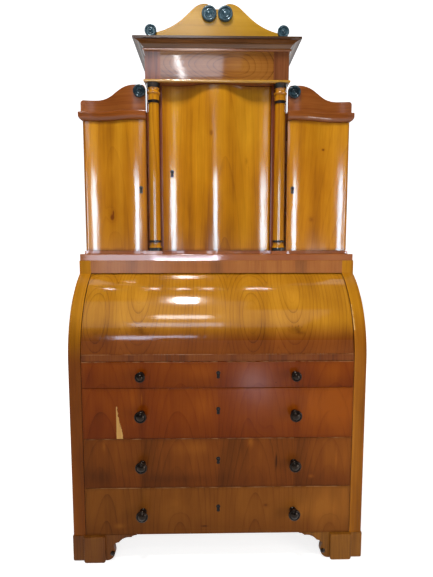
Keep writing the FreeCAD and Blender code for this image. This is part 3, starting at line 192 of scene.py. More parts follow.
# Locks with the bodies they ride on. Height of a case, and the inset, radius and slot of its screws, in
# millimetres; the height of their domes in radii.
LOCKS = {"slide_lock": "writing_slide"}
for moving in ("upper_drawer", "middle_drawer", "lower_drawer", "left_door", "right_door", "centre_door"):
    LOCKS[moving + "_lock"] = moving
LOCK_HEIGHT = 44.0
SCREW_INSET = 6.0
SCREW_RADIUS = 3.2
SCREW_SLOT = 0.9
DOME = 0.4

# Where one finish of a node gives way to another, in millimetres: foot of the cylinder that is dull with
# handling, the cornice's top fillet, key plates, rear faces, end blocks, the two beads, crest and foot roundels.
CYLINDER_FOOT = 853.0
FILLET = 9.0
PLATE_DEPTH = 5.0
REAR_DEPTH = 1.0
BLOCK_START = 220.0
BEAD_PARTING = 1900.0
CREST_TOP = 1950.0
FEET_TOP = 500.0

# How far a face looks one way, for the tests that choose faces: squarely, mostly or partly.
SQUARELY, MOSTLY, PARTLY = 0.9, 0.5, 0.2

# Leaves of the drawer fronts: four sheets, each with its own arch of rings round its heart.
FRONT_LEAF = (287.0, -288.0, 0.08, 0.06)
FRONT_HEART = -144.5

# Slide and drawer fronts with their finish and the stains and flecks of a long life. The broad pale patch at the
# right end of each is painted light from the right, and worn gives a pale upper arris that is partly rubbed wood
# and partly a painted glint.
FRONTS = {
    "slide_front": {
        "tones": BROWN, "gloss": 0.17, "worn": 0.4,
        "marks": [(-470.0, 730.0, 40.0, 60.0, 0.0, 0.15), (-60.0, 740.0, 110.0, 40.0, 0.0, -0.15),
                  (214.0, 700.0, 2.2, 2.2, 0.0, 0.9), (430.0, 735.0, 80.0, 60.0, 0.0, -0.25)]},
    "upper_drawer_front": {
        "tones": BROWN, "gloss": 0.18, "wedge": (-379.0, 612.0, 0.0, 0.14, 5.0),
        "marks": [(-284.0, 640.0, 3.0, 26.0, 0.0, -0.7), (-310.0, 640.0, 24.0, 45.0, 0.0, -0.25),
                  (-60.0, 620.0, 90.0, 60.0, 0.0, -0.2), (430.0, 600.0, 190.0, 170.0, 0.0, -0.5),
                  (-440.0, 560.0, 60.0, 70.0, 0.0, 0.12), (165.0, 560.0, 34.0, 70.0, 1.5, 0.0)]},
    "middle_drawer_front": {
        "tones": UMBER, "gloss": 0.34, "worn": 0.4, "level": 0.54,
        "marks": [(-452.0, 340.0, 70.0, 50.0, 0.0, 0.2), (-427.0, 460.0, 7.0, 26.0, 0.0, -0.35),
                  (-106.0, 450.0, 95.0, 40.0, 0.0, -0.25), (122.0, 472.0, 16.0, 30.0, 0.0, -0.55),
                  (219.0, 396.0, 4.0, 34.0, 0.0, 0.55), (503.0, 452.0, 2.4, 2.4, 0.0, 0.9),
                  (353.0, 334.0, 13.0, 9.0, 0.0, -0.5), (447.0, 400.0, 6.0, 50.0, 0.0, -0.4),
                  (-150.0, 330.0, 200.0, 26.0, 0.0, 0.12), (440.0, 420.0, 150.0, 130.0, 0.0, -0.2)]},
    "lower_drawer_front": {
        "tones": TAWNY, "gloss": 0.4, "worn": 0.4, "level": 0.45,
        "marks": [(-145.0, 225.0, 40.0, 40.0, 1.6, -0.2), (428.0, 215.0, 40.0, 45.0, 1.6, -0.3),
                  (182.0, 220.0, 13.0, 9.0, 0.0, 0.35), (-374.0, 142.0, 26.0, 14.0, 0.0, -0.35),
                  (-51.0, 138.0, 16.0, 3.5, 0.0, 0.5), (320.0, 200.0, 50.0, 60.0, 0.0, -0.2),
                  (-420.0, 200.0, 60.0, 60.0, 0.0, 0.1), (430.0, 215.0, 170.0, 150.0, 0.0, -0.35)]},
}

# Papers of the stage: colour, corners in metres, and the white that the camera or a polished face sees, which
# grows by PAPER_GAIN from near the piece to well behind it, in millimetres.
PAPERS = {
    "floor": ("#bab8b4", [(-200, -200, 0), (200, -200, 0), (200, 9, 0), (-200, 9, 0)], 0.8),
    "backdrop": ("#f4f4f4", [(-200, 8, -1), (200, 8, -1), (200, 8, 70), (-200, 8, 70)], 0.95),
}
PAPER_GAIN = 0.15
PAPER_NEAR, PAPER_FAR = 300.0, 3000.0
ROOM_LIGHT = 0.1

# Lamps: name, place and facing in metres, width, height, power, colour, how it shows, and nodes. A lit one gives
# light alone, and a mirrored one only shows in the polish of its nodes. The others are kept off their nodes.
LIT, MIRRORED, BOTH = "lit", "mirrored", "both"
AHEAD, DOWN, UP = (0.0, 1.0, 0.0), (0.0, 0.0, -1.0), (0.0, 0.0, 1.0)
WALL = -4.28
WHITE = "#ffffff"
DOORS = ("left_door", "centre_door", "right_door")
UPRIGHTS = ("pilasters", "column_shafts")
TOPS = ("bureau_top", "upper_deck")
SHINING_FRONTS = ("slide_front", "upper_drawer_front")
LAMPS = (
    ("daylight", (-0.345, WALL, 1.55), AHEAD, 0.8, 1.1, 46, "#e2ecff", LIT, ("centre_door",)),
    ("left_pane", (-1.0, WALL, 1.55), AHEAD, 0.8, 1.1, 77, "#c4e8ff", MIRRORED, ("left_door", *UPRIGHTS)),
    ("centre_pane", (-0.1, WALL, 1.55), AHEAD, 0.65, 1.1, 63, "#c4e8ff", MIRRORED, ("centre_door",)),
    ("right_pane", (0.95, WALL, 1.55), AHEAD, 0.65, 1.1, 63, "#c4e8ff", MIRRORED, ("right_door", *UPRIGHTS)),
    ("desk_pane", (-0.72, WALL, 2.1), AHEAD, 1.05, 0.35, 13, "#d4e4ff", MIRRORED, ("cylinder_shell",)),
    ("desk_ceiling", (-0.3, -3.0, 3.2), DOWN, 3.0, 2.4, 17, "#f4f0ec", MIRRORED, ("cylinder_shell",)),
    ("floor_sheet", (0.36, -2.4, 0.02), UP, 0.16, 0.7, 10, "#e8ecff", MIRRORED, SHINING_FRONTS),
    ("top_pane", (-0.3, WALL, 2.65), AHEAD, 0.25, 0.5, 2.4, "#b4d8ff", MIRRORED, DOORS),
    ("edge_pane", (-0.33, WALL, 1.03), AHEAD, 0.85, 0.4, 62, "#e8ecff", MIRRORED, TOPS),
    ("edge_wall", (-1.22, WALL, 1.03), AHEAD, 0.85, 0.4, 7, "#e8ecff", MIRRORED, TOPS),
    *[(f"{side}_crest_pane", (aside, WALL, 3.0), AHEAD, 0.7, 0.5, 3, "#e8ecff", MIRRORED, ("side_crests",))
      for side, aside in (("left", -1.0), ("right", 0.95))],
    ("bead_pane", (-0.35, WALL, 2.2), AHEAD, 1.2, 2.4, 120, "#f4ecff", MIRRORED, ("bead_mouldings",)),
    *[(f"gap_{order}", (*spot, 3.18), DOWN, 0.06, 0.35, 1.7, WHITE, MIRRORED, ("entablature_panels",))
      for order, spot in enumerate(((-0.362, -3.42), (-0.332, -3.77)))],
    ("key", (-0.24, -1.03, 3.2), DOWN, 0.17, 0.4, 36, WHITE),
    ("ceiling", (-0.75, -2.4, 3.2), DOWN, 2.2, 2.6, 10, WHITE),
    ("near_strip", (-0.3, -2.51, 3.19), DOWN, 0.6, 0.4, 11, WHITE),
    ("far_strip", (-0.43, -3.6, 3.19), DOWN, 1.14, 0.66, 13, "#c8e4ff"),
    ("left_wall", (-1.1, -4.5, 0.95), (0.7, 4.5, 0.0), 0.9, 0.7, 4, "#c8e4ff"),
    ("right_low", (1.9, -1.6, 0.7), (-1.6, 1.4, 0.1), 0.9, 0.8, 20, WHITE, BOTH, ("centre_door",)),
    ("low_reflector", (0.48, -2.35, 0.1), (-0.13, 2.07, 0.4), 0.4, 0.5, 6, "#e4ecff", LIT),
    *[(f"spot_{order}", (aside, -0.2, 3.2), DOWN, 0.05, 0.05, 0.5, WHITE)
      for order, aside in enumerate((-0.88, -0.5, -0.25, -0.04, 0.35, 0.46))],
    ("behind", (0.0, 3.2, 3.4), (0.0, -2.6, -2.8), 7.0, 3.0, 125, WHITE),
)


def linear(code):
    """sRGB hex to the linear colour that shaders take."""
    parts = [int(code[n:n + 2], 16) / 255 for n in (1, 3, 5)]
    return (*[c / 12.92 if c <= 0.04045 else ((c + 0.055) / 1.055) ** 2.4 for c in parts], 1.0)


def put(tree, kind, inputs=(), out=0, stops=(), **settings):
    """Adds one node with its settings, links and colour stops, and gives the output asked for."""
    made = tree.nodes.new(kind)
    for name, value in settings.items():
        setattr(made, name, value)
    pairs = inputs.items() if isinstance(inputs, dict) else enumerate(inputs)
    for key, value in pairs:
        if isinstance(value, bpy.types.NodeSocket):
            tree.links.new(value, made.inputs[key])
        else:
            made.inputs[key].default_value = value
    for order, (at, code) in enumerate(stops):
        ramp = made.color_ramp.elements
        stop = ramp[order] if order < len(ramp) else ramp.new(at)
        stop.position, stop.color = at, linear(code)
    return made.outputs[out] if out is not None else None


def begin(name, **sockets):
    """A material with its tree, its shader and the place on the piece in millimetres."""
    material = bpy.data.materials.new(name)
    material.use_nodes = True
    tree = material.node_tree
    shader = tree.nodes["Principled BSDF"]
    for socket, value in sockets.items():
        shader.inputs[socket.replace("_", " ")].default_value = value
    spot = put(tree, "ShaderNodeTexCoord", out="Object")
    return material, tree, shader, put(tree, VECTOR, {0: spot, "Scale": 1 / MM}, operation="SCALE")


def end(tree, shader, colour, dull, height, depth=1.0, strength=1.0):
    """Gives the shader its colour, its roughness and its height, whose depth is in millimetres."""
    bump = put(tree, BUMP, {"Height": height, "Strength": strength, "Distance": depth * MM})
    for socket, value in (("Base Color", colour), ("Roughness", dull), ("Normal", bump)):
        tree.links.new(value, shader.inputs[socket])


def total(tree, start, *parts):
    """A value with every amount times its share added to it."""
    for amount, share in parts:
        start = put(tree, MATH, [amount, share, start], operation="MULTIPLY_ADD")
    return start


def lay_leaves(tree, leaf, whole, run, tone, seed):
    """Sheets side by side: the place across and along each sheet, and the tone with their joints."""
    width, start, change, joint = leaf
    count = put(tree, MATH, [put(tree, MATH, [whole, start], operation="SUBTRACT"), width], operation="DIVIDE")
    draw = put(tree, MATH, [put(tree, MATH, [count], operation="FLOOR"), seed], operation="ADD")
    chance = put(tree, CHANCE, {"W": draw}, noise_dimensions="1D")
    length = total(tree, run, (chance, LEAF_SHIFT if change else 0.0))
    tone = total(tree, tone, (put(tree, MATH, [chance, 0.5], operation="SUBTRACT"), change))
    aside = put(tree, MATH, [whole, start + width, start], operation="WRAP")
    off = apart(tree, put(tree, MATH, [count], operation="FRACT"), 0.5)
    seam = put(tree, RANGE, {"Value": off, "From Min": 0.5 - JOINT / width, "From Max": 0.5, "To Max": joint})
    return aside, length, put(tree, MATH, [tone, seam], operation="ADD")


def grain_fields(tree, board, seed):
    """The noise fields of a board, stretched along its grain, each about zero."""
    field = {}
    for order, (size, (wide, tall, detail)) in enumerate(FIELDS.items()):
        grain = put(tree, VECTOR, [board, (1 / wide, 1 / wide, 1 / tall), (seed + order, seed, seed)],
                    operation="MULTIPLY_ADD")
        noise = put(tree, NOISE, {"Vector": grain, "Scale": 1.0, "Detail": detail})
        field[size] = put(tree, MATH, [noise, 0.5], operation="SUBTRACT")
    return field


def heart_distance(tree, aside, run, field, warp, hearts, pith, tilt):
    """How far a place is from the heart of the tree, bent by the slow field and the waves."""
    bent = total(tree, aside, (field["slow"], SLOW_BEND * warp), (field["wave"], WAVE_BEND * warp))
    if not hearts:
        bent = put(tree, MATH, [bent, pith[0]], operation="SUBTRACT")
        off = put(tree, JOIN, [bent, total(tree, pith[1], (run, tilt)), 0.0])
        return put(tree, VECTOR, [off], out="Value", operation="LENGTH")
    reach = 1 / MM
    for aside_at, run_at, stretch in hearts:
        off = put(tree, VECTOR, [put(tree, JOIN, [bent, 0.0, run]), (aside_at, 0.0, run_at)],
                  operation="SUBTRACT")
        off = put(tree, VECTOR, [off, (1.0, 0.0, 1 / stretch)], operation="MULTIPLY")
        far = put(tree, VECTOR, [off], out="Value", operation="LENGTH")
        reach = put(tree, MATH, [reach, far, HEART_BLEND], operation="SMOOTH_MIN")
    return reach


def set_marks(tree, marks, face, field, turns, tone):
    """Knots, stains and flecks, and some patches of painted light and highlight: they push the growth rings round
    and change the tone.
    """
    for aside_at, run_at, wide, tall, rings, dark in marks:
        off = put(tree, VECTOR, [face, (aside_at, 0.0, run_at)], operation="SUBTRACT")
        off = put(tree, VECTOR, [off, (1 / wide, 0.0, 1 / tall)], operation="MULTIPLY")
        far = put(tree, VECTOR, [off, off], out="Value", operation="DOT_PRODUCT")
        far = total(tree, far, (field["wave"], MARK_RAGGED))
        near = put(tree, MATH, [put(tree, MATH, [far, -1.0], operation="MULTIPLY")], operation="EXPONENT")
        if rings:
            turns = total(tree, turns, (near, rings))
        tone = total(tree, tone, (put(tree, MATH, [near, MARK_CORE], operation="POWER"), dark))
    return turns, tone


def apart(tree, place, middle):
    """How far a place is from a middle, on either side."""
    return put(tree, MATH, [put(tree, MATH, [place, middle], operation="SUBTRACT")], operation="ABSOLUTE")


def rim_distance(tree, places):
    """How far inside its nearest rim a place on a face is, from (place, low, high) for each way."""
    rims = []
    for place, low, high in places:
        gone = apart(tree, place, (low + high) / 2)
        rims.append(put(tree, MATH, [(high - low) / 2, gone], operation="SUBTRACT"))
    return put(tree, MATH, rims, operation="MINIMUM")


def soil_rim(tree, colour, edges, whole, run, field, grime, worn, dark):
    """Old dirt along the rim of a face, and a pale line on its upper arris here and there: partly rubbed bare
    wood, partly a painted glint of light.
    """
    rim = rim_distance(tree, [(whole, *edges[:2]), (run, *edges[2:])])
    near = total(tree, rim, (field["wave"], RIM_RAGGED))
    soil = put(tree, RANGE, {"Value": near, "From Min": 0.0, "From Max": RIM_WIDTH, "To Min": grime,
                             "To Max": 0.0}, interpolation_type="SMOOTHSTEP")
    colour = put(tree, MIX, {0: soil, 6: colour, 7: linear(dark)}, out=2, data_type="RGBA")
    if worn:
        # Pale line on the upper arris: partly rubbed bare wood, partly a painted glint of light.
        below = put(tree, MATH, [edges[3], run], operation="SUBTRACT")
        thin = put(tree, RANGE, {"Value": below, "From Min": ARRIS_FROM, "From Max": ARRIS_TO, "To Min": worn,
                                 "To Max": 0.0})
        broken = put(tree, RANGE, {"Value": field["wave"], "From Min": BREAK_FROM, "From Max": BREAK_TO})
        bare = put(tree, MATH, [thin, broken], operation="MULTIPLY")
        colour = put(tree, MIX, {0: bare, 6: colour, 7: linear(ARRIS_BARE_AND_GLINT)}, out=2, data_type="RGBA")
    return colour


def lose_sliver(tree, wedge, whole, run, board, field, colour, height):
    """Lost veneer that shows the pale ground wood: straight on one side, widening downwards."""
    aside_at, top, bottom, slope, width = wedge
    off = total(tree, put(tree, MATH, [whole, aside_at], operation="SUBTRACT"), (field["streak"], TEAR_PLAY))
    below = put(tree, MATH, [top, run], operation="SUBTRACT")
    above = put(tree, MATH, [run, bottom], operation="SUBTRACT")
    right = put(tree, MATH, [total(tree, width, (below, slope)), off], operation="SUBTRACT")
    teeth = put(tree, NOISE, {"Vector": board, "Scale": 1 / TEAR_SIZE, "Detail": 2.0})
    right = total(tree, right, (put(tree, MATH, [teeth, 0.5], operation="SUBTRACT"), TEAR_DEPTH))
    inside = put(tree, MATH, [off, put(tree, MATH, [right, below], operation="MINIMUM")], operation="MINIMUM")
    inside = put(tree, MATH, [inside, above], operation="MINIMUM")
    bare = put(tree, RANGE, {"Value": inside, "From Min": TEAR_FROM, "From Max": TEAR_TO})
    ground = put(tree, RAMP, [put(tree, MATH, [field["streak"], 0.5], operation="ADD")],
                 stops=zip((0.0, 1.0), GROUND))
    colour = put(tree, MIX, {0: bare, 6: colour, 7: ground}, out=2, data_type="RGBA")
    return colour, total(tree, height, (bare, -VENEER))


def wood(name, tones, along="Z", across="X", leaf=None, seed=0.0, pith=(0.0, 70.0), tilt=0.05, ring=11.0,
         lines=0.4, bands=1.0, streaks=0.7, fibres=0.35, mottle=0.8, warp=14.0, hearts=(), marks=(),
         edges=None, grime=0.55, worn=0.0, gloss=0.2, shine=0.5, waver=0.0, ripple=0.0, solid=0.0, level=0.42,
         fade=None, wedge=None):
    """Veneer or board: growth rings cut lengthwise, tonal bands, streaks, fibres, knots and old polish.

    tones are light, middle and dark, and level is how dark the board is between them. leaf is the (width, start,
    change, joint) of sheets side by side: how much they differ and how dark their joints are. pith is how far
    aside and how deep the heart of the tree lies, and hearts the (aside, up, stretch) of several. marks are
    knots, stains and flecks, and on some faces patches of painted light and highlight: (aside, up, wide, tall,
    rings, dark). edges is the (aside low, high, up low, high) of a face with grime on its rim, and worn how pale
    its upper arris is, a line that is partly rubbed bare wood and partly a painted glint. fade is the (start,
    end, tint) of a slow change along the grain, on some faces painted shade, and wedge the (aside, top, bottom,
    slope, width at the top) of lost veneer.
    waver and ripple are the heights of the planed swell and the sheet's ripple. solid is 1 where the figure runs
    through the piece.
    """
    material, tree, shader, spot = begin(name, IOR=1.5, Specular_IOR_Level=shine)
    part = put(tree, SPLIT, [spot]).node.outputs
    whole, run = part[across], part.get(along)
    rest = [axis for axis in "XYZ" if axis not in (along, across)][0]
    if along == "ARC":
        up = put(tree, MATH, [part["Z"], PIVOT[2]], operation="SUBTRACT")
        ahead = put(tree, MATH, [PIVOT[1], part["Y"]], operation="SUBTRACT")
        turn = put(tree, MATH, [up, ahead], operation="ARCTAN2")
        run = put(tree, MATH, [turn, SHELL_RADIUS], operation="MULTIPLY")
    aside, length, tone = lay_leaves(tree, leaf, whole, run, level, seed) if leaf else (whole, run, level)
    deep = put(tree, MATH, [part[rest], solid], operation="MULTIPLY")
    board = put(tree, JOIN, [aside, deep, length])
    field = grain_fields(tree, board, seed)

    # Growth rings round the heart, pushed aside by the knots, with a dark line at the end of each.
    reach = heart_distance(tree, aside, run, field, warp, hearts, pith, tilt)
    turns = put(tree, MATH, [reach, ring], operation="DIVIDE")
    same_sheets = leaf and not leaf[2]
    face = put(tree, JOIN, [aside if same_sheets else whole, 0.0, run])
    turns, tone = set_marks(tree, marks, face, field, turns, total(tree, tone, (field["band"], bands)))
    year = put(tree, CHANCE, {"W": put(tree, MATH, [turns], operation="FLOOR")}, noise_dimensions="1D")
    late = put(tree, MATH, [put(tree, MATH, [turns], operation="FRACT"), LATE_WOOD], operation="POWER")
    late = put(tree, MATH, [late, total(tree, LATE_LEAST, (year, LATE_SPREAD))], operation="MULTIPLY")
    if hearts:
        clear = put(tree, RANGE, {"Value": reach, "From Min": CLEAR_FROM * ring, "From Max": CLEAR_TO * ring})
        late = put(tree, MATH, [late, clear], operation="MULTIPLY")
    tone = total(tree, tone, (late, lines), (field["streak"], streaks), (field["fibre"], fibres),
                 (field["mottle"], mottle))
    colour = put(tree, RAMP, [tone], stops=zip((0.0, 0.5, 1.0), tones))
    if fade:
        amount = put(tree, RANGE, {"Value": run, "From Min": fade[0], "From Max": fade[1]},
                     interpolation_type="SMOOTHSTEP")
        colour = put(tree, MIX, {0: amount, 6: colour, 7: linear(fade[2])}, out=2, data_type="RGBA",
                     blend_type="MULTIPLY")
    if edges:
        colour = soil_rim(tree, colour, edges, whole, run, field, grime, worn, tones[2])

    # Surface in millimetres: hand-planed swell, ripple of the glued sheet, open pores along the fibres.
    height = total(tree, 0.0, (field["swell"], waver), (field["wave"], 4 * ripple), (field["streak"], ripple),
                   (field["fibre"], PORE_DEPTH))
    if wedge:
        colour, height = lose_sliver(tree, wedge, whole, run, board, field, colour, height)
    dull = total(tree, gloss, (field["mottle"], MOTTLE_DULL), (late, LATE_DULL))
    end(tree, shader, colour, dull, height)
    return material


def ebonised(name, black, rubbed, gloss, tint=WHITE):
    """Black-stained turned pearwood, polished: near black, with worn spots and a soft broken sheen."""
    material, tree, shader, spot = begin(name, IOR=1.5, Specular_Tint=linear(tint))
    noise = put(tree, NOISE, {"Vector": spot, "Scale": 1 / BLACK_WEAR, "Detail": 4.0})
    colour = put(tree, RAMP, [noise], stops=((0.45, black), (0.8, rubbed)))
    patch = put(tree, NOISE, {"Vector": spot, "Scale": 1 / BLACK_DULL, "Detail": 3.0})
    dull = put(tree, RANGE, {"Value": patch, "To Min": gloss - 0.08, "To Max": gloss + 0.12})
    end(tree, shader, colour, dull, patch, 0.2, 0.15)
    return material


def metal(name, bright, dark, roughness, spot_size):
    """Old hand-filed metal: brighter and glossier in some random patches, darker and duller in others, with file
    marks.
    """
    material, tree, shader, spot = begin(name, Metallic=1.0)
    noise = put(tree, NOISE, {"Vector": spot, "Scale": 1 / spot_size, "Detail": 5.0})
    colour = put(tree, MIX, {0: noise, 6: linear(dark), 7: linear(bright)}, out=2, data_type="RGBA")
    dull = put(tree, RANGE, {"Value": noise, "To Min": roughness + 0.15, "To Max": roughness - 0.1})
    file_marks = put(tree, VECTOR, [spot, (1 / FILE_WIDTH, 1 / FILE_LENGTH, 1 / FILE_LENGTH)],
                     operation="MULTIPLY")
    marks = put(tree, NOISE, {"Vector": file_marks, "Scale": 1.0, "Detail": 2.0})
    end(tree, shader, colour, dull, marks, 0.1, 0.2)
    return material


def hide():
    """Green goatskin: pebbled grain, rubbed brown in places, with two worn gilt lines round it."""
    material, tree, shader, spot = begin("goatskin", IOR=1.45)
    pebble = put(tree, "ShaderNodeTexVoronoi", {"Vector": spot, "Scale": 1 / PEBBLE}, out="Distance")
    cloud = put(tree, NOISE, {"Vector": spot, "Scale": 1 / HIDE_CLOUD, "Detail": 4.0})
    colour = put(tree, RAMP, [cloud], stops=zip((0.25, 0.75), GOATSKIN))
    part = put(tree, SPLIT, [spot]).node.outputs
    low, high = [Vector(corner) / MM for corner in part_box("writing_leather")]
    rim = rim_distance(tree, [(part["X"], low.x, high.x), (part["Y"], low.y, high.y)])
    gilt = 0.0
    for inset in LINE_INSETS:
        line = put(tree, RANGE, {"Value": apart(tree, rim, inset), "From Min": LINE_FULL, "From Max": LINE_GONE,
                                 "To Min": 1.0, "To Max": 0.0})
        gilt = put(tree, MATH, [line, gilt], operation="MAXIMUM")
    worn = put(tree, RANGE, {"Value": cloud, "From Min": 0.3, "From Max": 0.45})
    gilt = put(tree, MATH, [gilt, worn], operation="MULTIPLY")
    colour = put(tree, MIX, {0: gilt, 6: colour, 7: linear(GILDING)}, out=2, data_type="RGBA")
    tree.links.new(gilt, shader.inputs["Metallic"])
    dull = put(tree, RANGE, {"Value": cloud, "To Min": 0.38, "To Max": 0.6})
    end(tree, shader, colour, dull, total(tree, pebble, (gilt, -LINE_DEPTH)), 0.15, 0.5)
    return material


def dovetails(name, tones):
    """End of a drawer front: end grain with the paler tails of the drawer side let into it."""
    material, tree, shader, spot = begin(name, IOR=1.5, Specular_IOR_Level=0.2)
    part = put(tree, SPLIT, [spot]).node.outputs
    inward = put(tree, MATH, [FRONT_BACK, part["Y"]], operation="SUBTRACT")
    step = put(tree, MATH, [part["Z"], TAIL_PITCH, 0.0], operation="WRAP")
    half = total(tree, TAIL_ROOT / 2, (inward, TAIL_SLOPE))
    sides = put(tree, MATH, [half, apart(tree, step, TAIL_PITCH / 2)], operation="SUBTRACT")
    tail = put(tree, MATH, [sides, put(tree, MATH, [TAIL_LENGTH, inward], operation="SUBTRACT")],
               operation="MINIMUM")
    tail = put(tree, RANGE, {"Value": tail, "From Min": -0.3, "From Max": 0.3})
    pores = put(tree, NOISE, {"Vector": spot, "Scale": 1 / END_PORE, "Detail": 4.0})
    grain = put(tree, RAMP, [pores], stops=((0.0, tones[2]), (1.0, tones[0])))
    stretched = put(tree, VECTOR, [spot, (1 / TAIL_GRAIN_WIDTH, 1 / TAIL_GRAIN_LENGTH, 1 / TAIL_GRAIN_WIDTH)],
                    operation="MULTIPLY")
    pale = put(tree, RAMP, [put(tree, NOISE, {"Vector": stretched, "Scale": 1.0, "Detail": 3.0})],
               stops=((0.0, SPRUCE[2]), (1.0, SPRUCE[0])))
    colour = put(tree, MIX, {0: tail, 6: grain, 7: pale}, out=2, data_type="RGBA")
    dull = put(tree, RANGE, {"Value": pores, "To Min": 0.5, "To Max": 0.7})
    end(tree, shader, colour, dull, pores, 0.2, 0.3)
    return material


def face_of(node):
    """The rim of a node's front in millimetres, for its soiled edges."""
    low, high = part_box(node)
    return (low.x / MM, high.x / MM, low.z / MM, high.z / MM)


def dress(material, *names):
    """Gives whole nodes one material."""
    for name in names:
        NODES[name].data.materials.clear()
        NODES[name].data.materials.append(material)


def mark(name, material, wanted):
    """Gives one more material to the faces of a node whose middle and way pass the test."""
    mesh = NODES[name].data
    mesh.materials.append(material)
    for face in mesh.polygons:
        if wanted(face.center, face.normal):
            face.material_index = len(mesh.materials) - 1


def aim(obj, place, target):
    """Places a camera or lamp and turns it to a point."""
    obj.location = place
    obj.rotation_euler = (Vector(target) - Vector(place)).to_track_quat("-Z", "Y").to_euler()


def add_camera():
    """The camera of the photograph."""
    data = bpy.data.cameras.new("camera")
    data.sensor_fit = "HORIZONTAL"
    data.sensor_width = SENSOR_WIDTH
    data.lens = SENSOR_WIDTH * FOCAL_PIXELS / PICTURE_WIDTH
    camera = bpy.data.objects.new("camera", data)
    bpy.context.scene.collection.objects.link(camera)
    pitch, yaw = math.radians(CAMERA_PITCH), math.radians(CAMERA_YAW)
    ahead = Vector((math.sin(yaw) * math.cos(pitch), math.cos(yaw) * math.cos(pitch), -math.sin(pitch)))
    aim(camera, CAMERA_PLACE, Vector(CAMERA_PLACE) + ahead)
    bpy.context.scene.camera = camera


# Collections of the nodes that some lamps are kept to, or kept from, by those nodes' names.
LINKED = {}


def add_lamp(name, place, facing, width, height, power, colour, shows=BOTH, nodes=()):
    """One soft panel lamp from the table of lamps."""
    data = bpy.data.lights.new(name, "AREA")
    data.shape = "RECTANGLE"
    data.size, data.size_y = width, height
    data.energy = power
    data.color = linear(colour)[:3]
    lamp = bpy.data.objects.new(name, data)
    lamp.visible_camera = False
    lamp.visible_diffuse = shows != MIRRORED
    lamp.visible_glossy = shows != LIT
    if nodes:
        state = "INCLUDE" if shows == MIRRORED else "EXCLUDE"
        if (state, nodes) not in LINKED:
            linked = LINKED[state, nodes] = bpy.data.collections.new(name + "_nodes")
            for node in nodes:
                linked.objects.link(NODES[node])
            for entry in linked.collection_objects:
                entry.light_linking.link_state = state
        lamp.light_linking.receiver_collection = LINKED[state, nodes]
    bpy.context.scene.collection.objects.link(lamp)
    aim(lamp, place, Vector(place) + Vector(facing))


def add_light():
    """Low even light of the room, and the lamps."""
    world = bpy.data.worlds.new("studio")
    world.use_nodes = True
    background = world.node_tree.nodes["Background"]
    background.inputs["Color"].default_value = linear(WHITE)
    background.inputs["Strength"].default_value = ROOM_LIGHT
    bpy.context.scene.world = world
    for lamp in LAMPS:
        add_lamp(*lamp)


def add_stage():
    """Pale matt paper floor that reads as white, and a white paper sheet well behind the piece."""
    for name, (base, points, white) in PAPERS.items():
        paper, tree, shader, spot = begin(name + "_paper", Base_Color=linear(base), Roughness=0.9,
                                          Emission_Color=linear(WHITE))
        path = put(tree, "ShaderNodeLightPath").node.outputs
        seen = put(tree, MATH, [path["Is Camera Ray"], path["Is Glossy Ray"]], operation="MAXIMUM")
        seen = put(tree, MATH, [seen, path["Is Transmission Ray"]], operation="MAXIMUM")
        back = put(tree, RANGE, {"Value": put(tree, SPLIT, [spot], out="Y"), "From Min": PAPER_NEAR,
                                 "From Max": PAPER_FAR, "To Min": white, "To Max": white + PAPER_GAIN})
        glow = put(tree, MATH, [seen, back], operation="MULTIPLY")
        tree.links.new(glow, shader.inputs["Emission Strength"])
        mesh = bpy.data.meshes.new(name)
        mesh.from_pydata(points, [], [(0, 1, 2, 3)])
        mesh.materials.append(paper)
        obj = bpy.data.objects.new(name, mesh)
        bpy.context.scene.collection.objects.link(obj)


def dress_cylinder():
    """Two sheets with one figure, an oval and a flame, under a mirroring polish that is dull at the foot, with
    the lower band darkened as painted shade.
    """
    hearts = [(-452.0, 168.0, 2.7), (-295.0, 300.0, 3.2), (-640.0, 190.0, 3.0)]
    marks = [(-295.0, 250.0, 34.0, 80.0, 0.0, -0.3), (-294.0, 118.0, 40.0, 18.0, 0.0, 0.3),
             (-272.0, 104.0, 20.0, 10.0, 0.0, 0.3)]
    # A row of small dark pin knots under the flame.
    marks += [(-318.0 + 12.0 * n, 126.0 + 4.0 * (n % 2), 2.0, 1.6, 0.0, 0.9) for n in range(5)]
    # The fade darkens the lower band of the shell: painted shade.
    figure = {"tones": AMBER, "along": "ARC", "leaf": (582.0, -582.0, 0.0, 0.1), "seed": 3.0, "hearts": hearts,
              "ring": 12.5, "lines": 0.45, "bands": 0.5, "warp": 5.0, "streaks": 0.35, "fibres": 0.25,
              "marks": marks, "fade": (165.0, 70.0, "#aa869a")}
    dress(wood("cylinder_cherry", gloss=0.09, waver=0.2, ripple=0.08, **figure), "cylinder_shell")
    foot = wood("cylinder_foot_cherry", gloss=0.4, shine=0.15, **figure)
    mark("cylinder_shell", foot, lambda middle, way: middle.z < CYLINDER_FOOT * MM)


